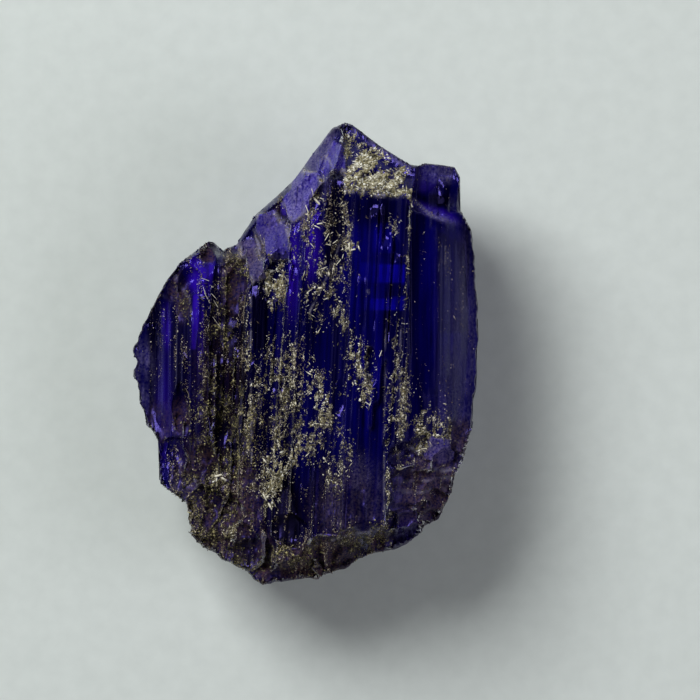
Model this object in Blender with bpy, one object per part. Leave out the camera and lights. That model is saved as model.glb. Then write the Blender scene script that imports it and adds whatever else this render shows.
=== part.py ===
"""A rough tanzanite crystal, lying on its broad cleavage face.

The stone is one piece: a bundle of growth blades side by side, all running the same way (the crystal's
c axis, close to +Y here), grown together into one solid. Each blade is a prism with flat sides, whose top
ends in sloping crystal faces and whose foot is broken. The blades are joined by a Boolean. A second one
trims them to the stone's chipped outline, and a third scoops out the shell-shaped breaks and pits.

Frame: metres, +Z up. The crystal rests on its flat back at z = 0, its length runs along Y, and the face
that it shows looks up. The tables below are in millimetres, with x and y from the middle of the outline.
"""

import math
import random

import bmesh
import bpy
from mathutils import Euler, Matrix, Vector

MM = 0.001

# Driving dimensions, in millimetres. OUTLINE below drives the width.
LENGTH = 21.0
THICKNESS = 8.8

# A blade's prism is made this long each way, and its facets cut it to length.
RAW_REACH = 0.62 * LENGTH

# How far a blade drifts along +X for each millimetre along +Y. The blades fan out a little to the right.
LEAN_LEFT = 0.010
LEAN_MIDDLE = 0.045
LEAN_RIGHT = 0.0676
LEAN_COLUMN = 0.004

# Striation steps on the front of a blade: their usual width and the height of their risers
STEP_WIDTH = 0.42
STEP_LOW = 0.025
STEP_HIGH = 0.085
RISER_RUN = 0.05

TANZANITE_COLOUR = (0.020, 0.010, 0.150, 1.0)
TANZANITE_ROUGHNESS = 0.2

# The stone's outline as seen from the front, clockwise from the peak: x, y and how high up its rim is.
OUTLINE = [
    (1.76, 10.50, 4.9),
    (2.07, 10.41, 5.0),
    (3.33, 9.41, 6.1),
    (4.68, 8.56, 6.9),
    (5.05, 8.51, 6.2),
    (5.36, 8.65, 5.6),
    (5.95, 8.60, 5.5),
    (6.71, 8.47, 5.3),
    (6.98, 7.97, 5.1),
    (6.85, 6.62, 4.9),
    (7.03, 6.44, 4.7),
    (7.48, 5.63, 4.5),
    (7.70, 3.83, 4.3),
    (7.88, 2.03, 4.2),
    (7.84, 0.68, 4.2),
    (7.70, -1.35, 4.2),
    (7.52, -3.38, 4.2),
    (7.21, -4.14, 4.3),
    (7.07, -4.96, 4.1),
    (6.76, -5.63, 4.4),
    (6.62, -6.31, 4.0),
    (6.31, -6.76, 4.4),
    (6.08, -7.48, 4.2),
    (5.36, -7.84, 4.5),
    (5.05, -8.38, 4.2),
    (4.23, -8.74, 4.5),
    (3.56, -8.92, 4.3),
    (2.43, -9.32, 4.6),
    (1.76, -9.78, 4.4),
    (0.63, -10.14, 4.2),
    (-0.50, -10.27, 4.5),
    (-1.98, -10.50, 4.2),
    (-2.43, -10.23, 4.0),
    (-2.70, -9.78, 4.2),
    (-3.78, -9.32, 3.8),
    (-4.55, -8.87, 3.9),
    (-5.14, -8.24, 3.6),
    (-5.32, -7.43, 3.4),
    (-5.41, -6.76, 3.6),
    (-6.13, -6.22, 3.3),
    (-6.67, -5.81, 3.2),
    (-6.67, -3.92, 3.0),
    (-6.94, -3.74, 3.1),
    (-7.25, -3.15, 3.0),
    (-7.43, -2.03, 3.1),
    (-7.70, -1.45, 3.2),
    (-7.60, 0.80, 3.2),
    (-7.03, 2.03, 3.3),
    (-6.44, 3.15, 3.5),
    (-5.68, 4.19, 3.7),
    (-4.41, 5.14, 3.9),
    (-4.05, 4.60, 3.7),
    (-3.92, 4.64, 3.7),
    (-3.15, 5.05, 4.5),
    (-2.30, 6.31, 4.8),
    (-1.08, 7.39, 5.0),
    (-0.50, 7.97, 5.1),
    (0.41, 9.23, 4.9),
    (1.17, 10.23, 4.9),
]

# The wall between the back and the front, as (share of the way from the rim, how far inside the rim).
# A share of -1 is the plane of the back, and 1 is above the highest ridge.
WALL = [(-1.08, 2.3), (-0.66, 1.15), (-0.30, 0.34), (0.0, 0.0), (0.28, 0.16), (0.62, 0.62), (1.0, 1.55)]
WALL_TOP = THICKNESS + 0.9
# The wall leans in towards the nearest point of this line, which runs up the middle of the stone.
SPINE = (Vector((-0.8, -6.0)), Vector((1.1, 5.6)))


def clear_scene():
    for obj in list(bpy.data.objects):
        bpy.data.objects.remove(obj)


def helper_object(name, bm, collection):
    """Puts a bmesh made in millimetres into the scene, in metres, as a hidden operand of a Boolean."""
    bmesh.ops.recalc_face_normals(bm, faces=bm.faces)
    bmesh.ops.transform(bm, matrix=Matrix.Scale(MM, 4), verts=bm.verts)
    mesh = bpy.data.meshes.new(name)
    bm.to_mesh(mesh)
    bm.free()
    obj = bpy.data.objects.new(name, mesh)
    collection.objects.link(obj)
    obj.display_type = "WIRE"
    obj.hide_render = True
    return obj


def prism(section, lean):
    """A bmesh of a section, given as (x, z) at y = 0, carried along Y from one raw end to the other."""
    bm = bmesh.new()
    low, high = [
        [bm.verts.new((x + lean * y, y, z)) for x, z in section] for y in (-RAW_REACH, RAW_REACH)
    ]
    count = len(section)
    for i in range(count):
        j = (i + 1) % count
        bm.faces.new((low[i], low[j], high[j], high[i]))
    bm.faces.new(low)
    bm.faces.new(high)
    bmesh.ops.recalc_face_normals(bm, faces=bm.faces)
    return bm


def cut_facet(bm, through, facing):
    """Cuts off all that lies outside the plane through a point, and closes the cut with a flat face."""
    everything = list(bm.verts) + list(bm.edges) + list(bm.faces)
    cut = bmesh.ops.bisect_plane(
        bm,
        geom=everything,
        dist=1e-5,
        plane_co=Vector(through),
        plane_no=Vector(facing).normalized(),
        clear_outer=True,
    )
    edges = [item for item in cut["geom_cut"] if isinstance(item, bmesh.types.BMEdge)]
    if edges:
        bmesh.ops.contextual_create(bm, geom=edges)


def blade(name, collection, section, lean, facets):
    """One growth blade: a leaning prism whose ends are cut by facets, each (point on it, way it faces)."""
    bm = prism(section, lean)
    for through, facing in facets:
        cut_facet(bm, through, facing)
    return helper_object(name, bm, collection)


def stepped(chain, seed):
    """A chain of (x, z) corners with small seeded steps put in between them, as striations."""
    rng = random.Random(seed)
    out = [chain[0]]
    for (xa, za), (xb, zb) in zip(chain, chain[1:]):
        count = int(abs(xb - xa) / STEP_WIDTH)
        for i in range(count):
            share = (i + rng.uniform(0.25, 0.75)) / count
            x = xa + (xb - xa) * share
            z = za + (zb - za) * share
            half = rng.uniform(STEP_LOW, STEP_HIGH) / 2 * rng.choice((-1, 1))
            run = RISER_RUN / 2 if xb > xa else -RISER_RUN / 2
            out += [(x - run, z - half), (x + run, z + half)]
        out.append((xb, zb))
    return out


# The faces at the top and the foot of the stone, which several blades share
CAP = ((1.76, 7.43, 8.3), (-0.017, 1.0, 0.909))
CAP_BACK = ((1.76, 10.70, 4.9), (1.03, 1.0, -0.50))
CREST = ((1.76, 10.78, 4.9), (-0.93, 1.0, 0.52))
CREST_BACK = ((1.76, 10.95, 4.6), (-1.05, 1.0, -0.80))
FOOT = ((-0.27, -10.15, 4.4), (0.295, -1.0, 0.386))
FOOT_BACK = ((-0.27, -10.35, 4.4), (0.22, -1.0, -0.60))


def main_prism(collection):
    """The thick middle of the stone, with the peak, the sloping cap and most of the broken foot."""
    front = [(4.24, 8.66), (3.75, 8.30), (1.9, 8.22), (1.75, 7.92), (0.55, 7.66), (0.40, 7.30), (-0.95, 6.85)]
    section = [(-3.2, 0.0), (5.0, 0.0), (5.6, 1.4), (5.4, 3.6)] + stepped(front, 3)
    section += [(-1.15, 6.10), (-1.95, 5.95), (-3.2, 5.2), (-3.6, 1.2)]
    facets = [CAP, CAP_BACK, CREST, CREST_BACK, FOOT, FOOT_BACK]
    return blade("main_prism", collection, section, LEAN_MIDDLE, facets)


def ridge_band(collection):
    """The narrow rough face between the middle and the right column. Its left edge is the highest line."""
    front = [(5.2, 8.28), (4.30, THICKNESS), (4.12, 8.62)]
    section = [(2.9, 3.0), (5.3, 3.0), (5.6, 7.9)] + stepped(front, 5)
    section.append((3.7, 8.1))
    facets = [
        ((1.76, 7.46, 8.34), (-0.010, 1.0, 0.93)),
        ((1.76, 10.85, 4.9), (1.05, 1.0, -0.52)),
        ((4.78, 0.0, 8.3), (1.0, 0.0, 0.30)),
        ((3.6, -9.10, 4.4), (0.35, -1.0, 0.33)),
        ((3.6, -9.30, 4.4), (0.3, -1.0, -0.6)),
    ]
    return blade("ridge_band", collection, section, LEAN_RIGHT, facets)


def right_column(collection):
    """The wide smooth column on the right, with its frosted side face and its level shoulder."""
    front = [(7.10, 6.95), (6.25, 7.90), (5.62, 8.10), (5.56, 8.22), (4.74, 8.42)]
    section = [(3.4, 0.0), (5.6, 0.0), (7.15, 1.5), (8.1, 3.4), (8.0, 5.2), (7.35, 6.7)] + front
    section.append((4.60, 8.0))
    facets = [
        ((4.80, 6.95, 8.35), (0.06, 1.0, 0.12)),
        ((5.80, 6.22, 8.00), (0.35, 1.0, 0.16)),
        ((6.95, 6.50, 4.50), (0.98, 0.60, 0.10)),
        ((5.36, -8.10, 4.40), (0.55, -1.0, 0.22)),
        ((5.36, -8.20, 4.40), (0.50, -1.0, -0.60)),
        ((6.60, -6.70, 5.00), (1.0, -0.62, 0.42)),
    ]
    return blade("right_column", collection, section, LEAN_COLUMN, facets)


def horns(collection):
    """The two short rounded columns that stand behind the right column's shoulder."""
    rows = [
        # name, left, right, top, front
        ("horn_inner", 4.22, 6.05, 8.85, 7.70),
        ("horn_outer", 5.70, 7.20, 8.75, 7.46),
    ]
    for name, left, right, top, front in rows:
        middle = (left + right) / 2
        section = [
            (left, 0.9),
            (right - 0.9, 0.9),
            (right, 4.0),
            (right, front - 0.90),
            (right - 0.22, front - 0.22),
            (right - 0.60, front),
            (left + 0.45, front + 0.04),
            (left + 0.05, front - 0.30),
        ]
        facets = [
            ((middle, top, 5.4), (0.05, 1.0, 0.10)),
            ((middle, top - 0.16, 6.5), (0.0, 1.0, 0.60)),
            ((middle, top - 0.50, 7.1), (0.0, 1.0, 1.7)),
            ((middle, top - 0.15, 3.9), (0.0, 1.0, -0.9)),
            ((right - 0.40, top - 0.10, 5.4), (0.75, 1.0, 0.15)),
            ((left + 0.35, top - 0.05, 5.4), (-0.60, 1.0, 0.10)),
            ((middle, 0.0, 5.4), (0.0, -1.0, 0.0)),
        ]
        blade(name, collection, section, LEAN_COLUMN, facets)


def crest_blades(collection):
    """The stepped blades under the long slope on the upper left, each with its own sloping face. Their
    fronts sink towards the foot, so that they run out into the middle of the stone."""
    rows = [
        # name, left, right, front, sink, point on the sloping face, way it faces
        ("crest_upper", -0.55, 1.05, 7.98, 0.050, (0.41, 9.35, 4.9), (-1.05, 1.0, 0.62)),
        ("crest_facet", -1.30, 0.42, 7.62, 0.055, (-0.50, 8.05, 5.1), (-0.72, 1.0, 0.78)),
        ("crest_purple", -2.20, -0.75, 7.02, 0.040, (-1.60, 6.92, 4.9), (-0.80, 1.0, 1.15)),
        ("crest_grey", -3.00, -1.92, 6.92, 0.030, (-2.90, 5.25, 5.0), (-0.42, 1.0, 1.02)),
        ("crest_recess", -4.30, -2.60, 5.66, 0.0, (-3.50, 4.95, 3.9), (-0.45, 1.0, 0.40)),
    ]
    for name, left, right, front, sink, through, facing in rows:
        chain = [(right - 0.05, front - 0.22), (right - 0.22, front), (left + 0.22, front - 0.10)]
        section = [(left - 0.1, 2.2), (right + 0.5, 2.2), (right + 0.15, front - 1.2)] + stepped(chain, name)
        section.append((left, front - 0.45))
        facets = [
            (through, facing),
            (through, (facing[0], 1.0, -0.9)),
            ((left, through[1] - 3.0, front), (0.0, -sink, 1.0)),
            ((left, -9.4, 4.4), (-0.25, -1.0, 0.45)),
            ((left, -9.4, 4.4), (-0.25, -1.0, -0.60)),
        ]
        blade(name, collection, section, LEAN_MIDDLE, facets)


def left_shard(collection):
    """The pointed blade on the left that stands apart from the slope by a notch."""
    front = [(-4.14, 5.62), (-4.62, 5.88), (-5.35, 5.50), (-6.2, 4.95)]
    section = [(-6.1, 1.0), (-3.3, 0.6), (-3.9, 4.9)] + stepped(front, 11) + [(-6.7, 3.2)]
    facets = [
        ((-4.60, 3.75, 5.6), (-0.25, 1.0, 1.25)),
        ((-4.41, 5.35, 3.9), (-0.80, 1.0, 0.30)),
        ((-4.41, 5.35, 3.9), (1.60, 1.0, 0.25)),
        ((-4.41, 5.45, 3.7), (-0.60, 1.0, -0.90)),
        ((-5.3, -8.60, 3.6), (-0.85, -1.0, 0.45)),
        ((-5.3, -8.60, 3.6), (-0.85, -1.0, -0.60)),
    ]
    blade("left_shard", collection, section, LEAN_LEFT, facets)


def left_slabs(collection):
    """The thin slabs of the left flank, each set back from the one inside it."""
    rows = [
        # name, left, right, front, point on the upper face, way it faces
        ("outer", -7.95, -6.55, 4.20, (-7.03, 2.10, 3.9), (-1.7, 1.0, 0.7)),
        ("middle", -6.95, -5.70, 4.75, (-6.44, 3.2, 4.3), (-1.3, 1.0, 0.6)),
        ("inner", -5.95, -5.00, 5.22, (-5.68, 4.2, 4.8), (-1.0, 1.0, 0.8)),
    ]
    # The foot of each in the same order: point on its face, way it faces
    feet = [
        ((-6.9, -4.1, 3.9), (-1.2, -1.0, 0.5)),
        ((-6.6, -6.0, 4.3), (-0.7, -1.0, 0.6)),
        ((-5.4, -8.0, 4.8), (-1.0, -1.0, 0.9)),
    ]
    for (name, left, right, front, *upper), lower in zip(rows, feet):
        chain = stepped([(right + 0.3, front), (left + 0.55, front - 0.05)], name)
        section = [(left + 0.60, 0.4), (right + 0.5, 0.2), (right + 0.5, front - 0.5)] + chain
        section += [(left + 0.12, front - 0.55), (left, 3.2)]
        blade(f"slab_{name}", collection, section, LEAN_LEFT, [upper, lower])


def foot_blades(collection):
    """Blades of the broken foot that end one after another, each with its own rough slanting face."""
    rows = [
        # name, left, right, back, front, point on the slanting face, way it faces
        ("foot_left", -5.30, -3.70, 0.6, 5.55, (-4.60, -8.90, 4.1), (-0.55, -1.0, 0.85)),
        ("foot_inner", -3.95, -2.20, 0.3, 6.00, (-3.40, -9.45, 4.2), (-0.30, -1.0, 0.65)),
        ("foot_middle", -1.70, 0.60, 0.2, 7.00, (-0.50, -10.40, 4.4), (0.05, -1.0, 0.42)),
        ("foot_right", 5.00, 6.60, 0.7, 7.45, (5.60, -7.80, 4.4), (0.45, -1.0, 0.28)),
        ("foot_far_right", 6.10, 7.30, 1.6, 6.60, (6.70, -6.10, 4.4), (0.90, -1.0, 0.30)),
    ]
    for name, left, right, back, front, through, facing in rows:
        shift = -through[1] * LEAN_MIDDLE
        left, right = left + shift, right + shift
        section = [(left, back), (right - 0.1, back), (right, 4.2)]
        chain = [(right - 0.05, front - 0.40), (right - 0.30, front), (left + 0.25, front - 0.05)]
        section += stepped(chain, name)
        section.append((left, front - 0.5))
        facets = [(through, facing), (through, (facing[0], -1.0, -0.60))]
        facets.append(((through[0], through[1] + 4.5, 4.0), (-0.3, 1.0, 0.4)))
        blade(name, collection, section, LEAN_MIDDLE, facets)


def toe(collection):
    """The sharp spur at the very bottom, a narrow pyramid that stands out from the foot."""
    section = [(-2.25, 1.2), (-1.05, 1.2), (-1.10, 5.6), (-1.52, 6.85), (-1.95, 5.8)]
    facets = [
        ((-2.00, -10.75, 4.2), (0.20, -1.0, 0.62)),
        ((-2.00, -10.75, 4.2), (-0.40, -1.0, -0.5)),
        ((-2.00, -7.90, 6.6), (0.0, 1.0, 0.9)),
    ]
    blade("toe", collection, section, LEAN_MIDDLE, facets)


def front_ribs(collection):
    """Low ribs on the front faces, each with its own drift, so that the ledges narrow and run out."""
    rng = random.Random(41)
    rows = [
        # left end, right end, height of the face there, number of ribs, lean, lowest and highest y
        (-0.7, 1.5, 7.15, 8, LEAN_MIDDLE, -8.4, 6.4),
        (1.9, 3.9, 8.20, 8, LEAN_MIDDLE + 0.008, -7.8, 7.0),
        (4.85, 6.00, 8.16, 5, LEAN_COLUMN, -6.9, 6.0),
        (-5.5, -4.0, 5.45, 6, LEAN_LEFT + 0.010, -7.4, 3.6),
        (-3.4, -2.3, 5.65, 4, LEAN_MIDDLE, -8.4, 4.0),
    ]
    for group, (left, right, height, count, lean, lowest, highest) in enumerate(rows):
        for i in range(count):
            middle = left + (right - left) * (i + rng.uniform(0.2, 0.8)) / count
            wide = rng.uniform(0.10, 0.26)
            rise = rng.uniform(0.05, 0.17) + (middle - left) * 0.22
            foot = lowest + rng.uniform(0.0, 0.55) * (highest - lowest)
            top = highest - rng.uniform(0.0, 0.45) * (highest - foot)
            section = [
                (middle - wide, height - 1.2),
                (middle + wide, height - 1.2),
                (middle + wide * 0.8, height + rise - 0.03),
                (middle - wide * 0.6, height + rise),
            ]
            facets = [
                ((middle, top, height + rise), (rng.uniform(-0.5, 0.5), 1.0, 1.4)),
                ((middle, foot, height + rise), (rng.uniform(-0.5, 0.5), -1.0, 1.0)),
            ]
            blade(f"rib_{group}_{i}", collection, section, lean + rng.uniform(-0.012, 0.012), facets)


def inward(x, y, distance):
    """A point of the outline moved towards the stone's middle line by a distance."""
    point = Vector((x, y))
    low, high = SPINE
    along = high - low
    share = (point - low).dot(along) / along.length_squared
    target = low + along * min(max(share, 0.0), 1.0)
    return point + (target - point).normalized() * distance


def chipped_wall(collection):
    """A closed shell with the stone's outline. Its wall leans in above and below the rim, in flat chips
    that are even on the grown sides and uneven on the broken ones."""
    rng = random.Random(8)
    bm = bmesh.new()
    rings = []
    for share, inset in WALL:
        ring = []
        for x, y, rim in OUTLINE:
            grown = y > -3.0 and x > -5.0
            uneven = 0.03 if grown else 0.26
            z = rim * (1 + share) if share < 0 else rim + (WALL_TOP - rim) * share
            if share != 0.0:
                z += rng.uniform(-uneven, uneven)
                x, y = inward(x, y, inset + rng.uniform(-uneven, uneven) * min(inset, 0.6))
            ring.append(bm.verts.new((x, y, z)))
        rings.append(ring)
    count = len(OUTLINE)
    for low, high in zip(rings, rings[1:]):
        for i in range(count):
            j = (i + 1) % count
            if rng.random() < 0.5:
                bm.faces.new((low[i], low[j], high[j]))
                bm.faces.new((low[i], high[j], high[i]))
            else:
                bm.faces.new((low[i], low[j], high[i]))
                bm.faces.new((low[j], high[j], high[i]))
    bm.faces.new(rings[0])
    bm.faces.new(rings[-1])
    return helper_object("chipped_wall", bm, collection)


def pebble(name, collection, centre, radii, turn, uneven):
    """A faceted ellipsoid with its corners shifted a little, turned about all three axes."""
    rng = random.Random(name)
    bm = bmesh.new()
    bmesh.ops.create_icosphere(bm, subdivisions=2, radius=1.0)
    for vert in bm.verts:
        vert.co *= 1.0 + rng.uniform(-uneven, uneven)
    size = Matrix.Diagonal((*radii, 1.0))
    turned = Euler([math.radians(angle) for angle in turn]).to_matrix().to_4x4()
    bmesh.ops.transform(bm, matrix=Matrix.Translation(centre) @ turned @ size, verts=bm.verts)
    helper_object(name, bm, collection)


def edge_lumps(collection):
    """Glassy bosses on the outer edge of the left flank."""
    rows = [
        # centre, radii
        ((-7.30, 0.20, 3.2), (0.58, 0.52, 0.85)),
        ((-7.26, -0.88, 3.1), (0.62, 0.60, 0.90)),
        ((-7.05, -1.95, 3.2), (0.52, 0.62, 0.80)),
        ((-6.95, 1.15, 3.6), (0.48, 0.55, 0.70)),
    ]
    for i, (centre, radii) in enumerate(rows):
        pebble(f"edge_lump_{i}", collection, centre, radii, (0.0, 0.0, 0.0), 0.05)


def shell_breaks(collection):
    """Shell-shaped scoops where chips have come off. They are wide and shallow, and overlap."""
    rows = [
        # x, y, height of the face there, half width, half length, depth, turn about Z
        (4.50, -4.45, 8.35, 0.85, 0.50, 0.42, 20),
        (5.75, -4.25, 8.15, 0.95, 0.62, 0.40, -15),
        (6.60, -4.90, 7.60, 0.80, 0.75, 0.50, 30),
        (5.05, -5.75, 8.25, 1.15, 0.60, 0.50, -10),
        (6.20, -6.10, 7.80, 0.85, 0.80, 0.62, 25),
        (4.40, -7.20, 8.30, 0.80, 0.95, 0.45, 10),
        (5.60, -7.20, 7.90, 0.75, 0.70, 0.75, -30),
        (2.30, -8.25, 8.20, 1.25, 0.55, 0.40, 15),
        (0.50, -8.90, 7.50, 1.20, 0.60, 0.42, 10),
        (-0.90, -7.90, 7.00, 0.85, 0.70, 0.40, -35),
        (-2.70, -8.30, 5.95, 0.60, 0.85, 0.40, 10),
        (-3.60, -7.20, 5.85, 1.05, 0.75, 0.42, 40),
        (-4.70, -7.00, 5.50, 0.80, 1.05, 0.45, -25),
        (-4.55, -5.00, 5.70, 0.75, 0.95, 0.30, 15),
        (-3.70, -3.20, 5.60, 0.45, 0.90, 0.30, -8),
        (-5.85, -4.90, 4.90, 0.70, 1.20, 0.40, 12),
        (-5.60, -2.30, 5.10, 0.50, 1.10, 0.26, -5),
        (-1.40, 3.50, 6.95, 0.55, 1.15, 0.50, -10),
        (-3.25, 3.30, 5.70, 0.40, 0.95, 0.30, -5),
        (0.55, 6.90, 7.90, 0.28, 0.75, 0.22, -18),
        (3.05, 8.10, 7.60, 0.70, 0.40, 0.30, 15),
        (-5.35, 3.30, 5.30, 0.45, 0.70, 0.40, -30),
        (1.55, -1.90, 7.85, 0.30, 0.85, 0.16, -4),
        (2.95, -0.60, 8.30, 0.32, 0.95, 0.18, 3),
    ]
    for i, (x, y, face, wide, long, depth, turn) in enumerate(rows):
        # A ball that reaches depth below the face and is as wide as asked where it meets the face
        tall = 1.6 * depth
        grow = 1.0 / math.sqrt(1.0 - (1.0 - depth / tall) ** 2)
        centre = (x, y, face + tall - depth)
        name = f"shell_break_{i}"
        pebble(name, collection, centre, (wide * grow, long * grow, tall), (0.0, 0.0, turn), 0.10)


def cleaved_steps(collection):
    """Flat steps where thin sheets have split off level with one another: at the lower right of the front,
    and along the edges of the back, which stays flat in its middle."""
    rows = [
        # centre of the floor, half size, turns about X, Y and Z
        ((5.95, -4.60, 7.95), (1.10, 0.62), (3.0, 9.0, -4.0)),
        ((5.35, -6.05, 7.78), (1.60, 0.72), (-4.0, 10.0, 5.0)),
        ((4.60, -8.05, 7.62), (0.95, 0.85), (-9.0, 4.0, 8.0)),
        ((6.35, -7.05, 6.90), (0.80, 0.80), (-10.0, 18.0, -6.0)),
        ((4.70, 3.10, 0.22), (1.30, 4.60), (178.5, 2.0, 1.5)),
        ((2.60, -8.20, 0.30), (3.40, 1.70), (177.0, -1.5, 12.0)),
        ((-4.10, -3.40, 0.20), (0.90, 5.20), (179.0, -3.0, 0.8)),
    ]
    for i, (floor, half, turn) in enumerate(rows):
        bm = bmesh.new()
        bmesh.ops.create_cube(bm, size=2.0)
        size = Matrix.Translation((0.0, 0.0, 1.0)) @ Matrix.Diagonal((half[0], half[1], 1.0, 1.0))
        turned = Euler([math.radians(angle) for angle in turn]).to_matrix().to_4x4()
        bmesh.ops.transform(bm, matrix=Matrix.Translation(floor) @ turned @ size, verts=bm.verts)
        helper_object(f"cleaved_step_{i}", bm, collection)


def join(crystal, name, operation, operand):
    modifier = crystal.modifiers.new(name, "BOOLEAN")
    modifier.operation = operation
    modifier.solver = "EXACT"
    if isinstance(operand, bpy.types.Collection):
        modifier.operand_type = "COLLECTION"
        modifier.collection = operand
    else:
        modifier.object = operand


def hidden_collection(name):
    collection = bpy.data.collections.new(name)
    bpy.context.scene.collection.children.link(collection)
    collection.hide_render = True
    return collection


def build_crystal():
    growth = hidden_collection("growth_blades")
    lumps = hidden_collection("edge_lumps")
    breaks = hidden_collection("shell_breaks")
    trimming = hidden_collection("trimming")
    trunk = main_prism(growth)
    ridge_band(growth)
    right_column(growth)
    horns(growth)
    crest_blades(growth)
    left_shard(growth)
    left_slabs(growth)
    foot_blades(growth)
    toe(growth)
    front_ribs(growth)
    edge_lumps(lumps)
    shell_breaks(breaks)
    cleaved_steps(breaks)
    wall = chipped_wall(trimming)

    crystal = bpy.data.objects.new("crystal", trunk.data.copy())
    bpy.context.scene.collection.objects.link(crystal)
    growth.objects.unlink(trunk)
    bpy.data.objects.remove(trunk)
    join(crystal, "join_blades", "UNION", growth)
    join(crystal, "trim_to_outline", "INTERSECT", wall)
    join(crystal, "add_lumps", "UNION", lumps)
    join(crystal, "scoop_breaks", "DIFFERENCE", breaks)
    return crystal


def main():
    clear_scene()
    crystal = build_crystal()
    material = bpy.data.materials.new("tanzanite")
    material.use_nodes = True
    shader = material.node_tree.nodes["Principled BSDF"]
    shader.inputs["Base Color"].default_value = TANZANITE_COLOUR
    shader.inputs["Roughness"].default_value = TANZANITE_ROUGHNESS
    crystal.data.materials.append(material)


main()
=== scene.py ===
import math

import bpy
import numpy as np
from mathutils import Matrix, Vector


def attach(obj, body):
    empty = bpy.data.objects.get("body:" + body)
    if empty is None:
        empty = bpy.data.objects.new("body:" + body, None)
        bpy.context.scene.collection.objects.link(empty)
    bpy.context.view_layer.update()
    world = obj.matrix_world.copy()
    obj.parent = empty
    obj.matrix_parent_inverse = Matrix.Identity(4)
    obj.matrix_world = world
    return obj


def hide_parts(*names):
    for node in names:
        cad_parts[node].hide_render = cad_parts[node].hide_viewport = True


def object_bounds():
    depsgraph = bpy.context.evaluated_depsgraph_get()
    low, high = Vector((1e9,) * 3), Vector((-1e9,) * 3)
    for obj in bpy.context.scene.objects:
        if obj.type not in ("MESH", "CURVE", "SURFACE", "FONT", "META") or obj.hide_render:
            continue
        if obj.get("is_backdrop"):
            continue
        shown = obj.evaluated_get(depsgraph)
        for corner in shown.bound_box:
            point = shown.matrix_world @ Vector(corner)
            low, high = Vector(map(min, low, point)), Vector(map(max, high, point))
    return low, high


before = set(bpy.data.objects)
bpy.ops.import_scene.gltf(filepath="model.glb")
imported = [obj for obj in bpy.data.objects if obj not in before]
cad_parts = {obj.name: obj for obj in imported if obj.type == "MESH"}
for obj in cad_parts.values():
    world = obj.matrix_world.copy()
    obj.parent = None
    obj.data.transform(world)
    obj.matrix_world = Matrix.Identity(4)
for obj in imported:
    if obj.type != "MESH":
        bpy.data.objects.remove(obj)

# %% [markdown]
# # A rough tanzanite crystal
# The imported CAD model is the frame: it fixes the size, the outline and the big faces. This lesson dresses it.
# Everything is worked out in millimetres, because a grain of residue is easier to picture as 0.1 mm than as
# 0.0001 m, and is turned into metres when a mesh is made.

MM = 0.001
CAD_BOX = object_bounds()
LOW = np.array(CAD_BOX[0]) / MM
HIGH = np.array(CAD_BOX[1]) / MM
print("CAD box in mm:", LOW.round(2), HIGH.round(2))


def linear(hex_colour):
    """An sRGB hex colour as linear red, green, blue and alpha. Each channel c becomes c / 12.92 where it is
    dark, and ((c + 0.055) / 1.055) to the power 2.4 elsewhere."""
    channels = [int(hex_colour[i:i + 2], 16) / 255 for i in (1, 3, 5)]
    return tuple(c / 12.92 if c <= 0.04045 else ((c + 0.055) / 1.055) ** 2.4 for c in channels) + (1.0,)


# %% [markdown]
# ## The camera and the light
# The stone lies on its back, so the photograph's view of its front is a view from straight above, with the
# pointed top towards the upper edge of the picture. A long lens from half a metre away keeps the outline
# almost free of perspective. The light is that of a small studio: a large soft panel at the upper left, a
# weaker one at the right, and pale walls. A dark stone with a bright ceiling mirrored in it looks milky, so
# the room gets darker towards straight above. One small function adds a node with its settings and links,
# here for the room and later for the materials.

# %% The camera
# The picture's width at the height of most of the stone's front: 700 pixels, at 22.2 of them to a millimetre
SPAN = 31.53
MIDDLE_HEIGHT = 6.0
VIEW_CENTRE = (1.98, 0.22)
CAMERA_HEIGHT = 520.0


def placed(name, data):
    """A new object with that mesh, lamp or camera, linked to the scene."""
    made = bpy.data.objects.new(name, data)
    bpy.context.scene.collection.objects.link(made)
    return made


camera = placed("camera", bpy.data.cameras.new("camera"))
bpy.context.scene.camera = camera
camera.location = (VIEW_CENTRE[0] * MM, VIEW_CENTRE[1] * MM, CAMERA_HEIGHT * MM)
camera.rotation_euler = (0.0, 0.0, 0.0)
camera.data.sensor_width = 36.0
camera.data.lens = 36.0 * (CAMERA_HEIGHT - MIDDLE_HEIGHT) / SPAN
camera.data.clip_start = 0.01
camera.data.clip_end = 10.0
print("lens", round(camera.data.lens, 1), "mm")

# %% The lights
def area_light(name, place, size, power, colour):
    """A square panel of light that faces the stone. place and size are in millimetres, power in watts."""
    lamp = bpy.data.lights.new(name, "AREA")
    lamp.size = size * MM
    lamp.energy = power
    lamp.color = linear(colour)[:3]
    panel = placed(name, lamp)
    panel.location = Vector(place) * MM
    panel.rotation_euler = (-panel.location).to_track_quat("-Z", "Y").to_euler()
    return panel


area_light("window", (-130.0, 150.0, 210.0), 150.0, 0.82, "#fbfdff")
side_fill = area_light("side_fill", (190.0, -40.0, 120.0), 140.0, 0.16, "#f4f1ff")
# The fill only lifts the shadows: mirrored in the side faces it would show as pale pillars
side_fill.visible_glossy = False
print("two lamps")

# %% A node in one call, and the room
def node(owner, kind, sockets=None, **settings):
    """Adds one node to a material or a world. The settings are the node's own. Each entry of sockets is an
    input, by name or number, with a plain value or with the output that feeds it."""
    made = owner.node_tree.nodes.new(kind)
    for key, value in settings.items():
        setattr(made, key, value)
    for key, value in (sockets or {}).items():
        if isinstance(value, bpy.types.NodeSocket):
            owner.node_tree.links.new(value, made.inputs[key])
        else:
            made.inputs[key].default_value = value
    return made


WALL_STRENGTH = 0.34
OVERHEAD_STRENGTH = 0.02

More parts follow.
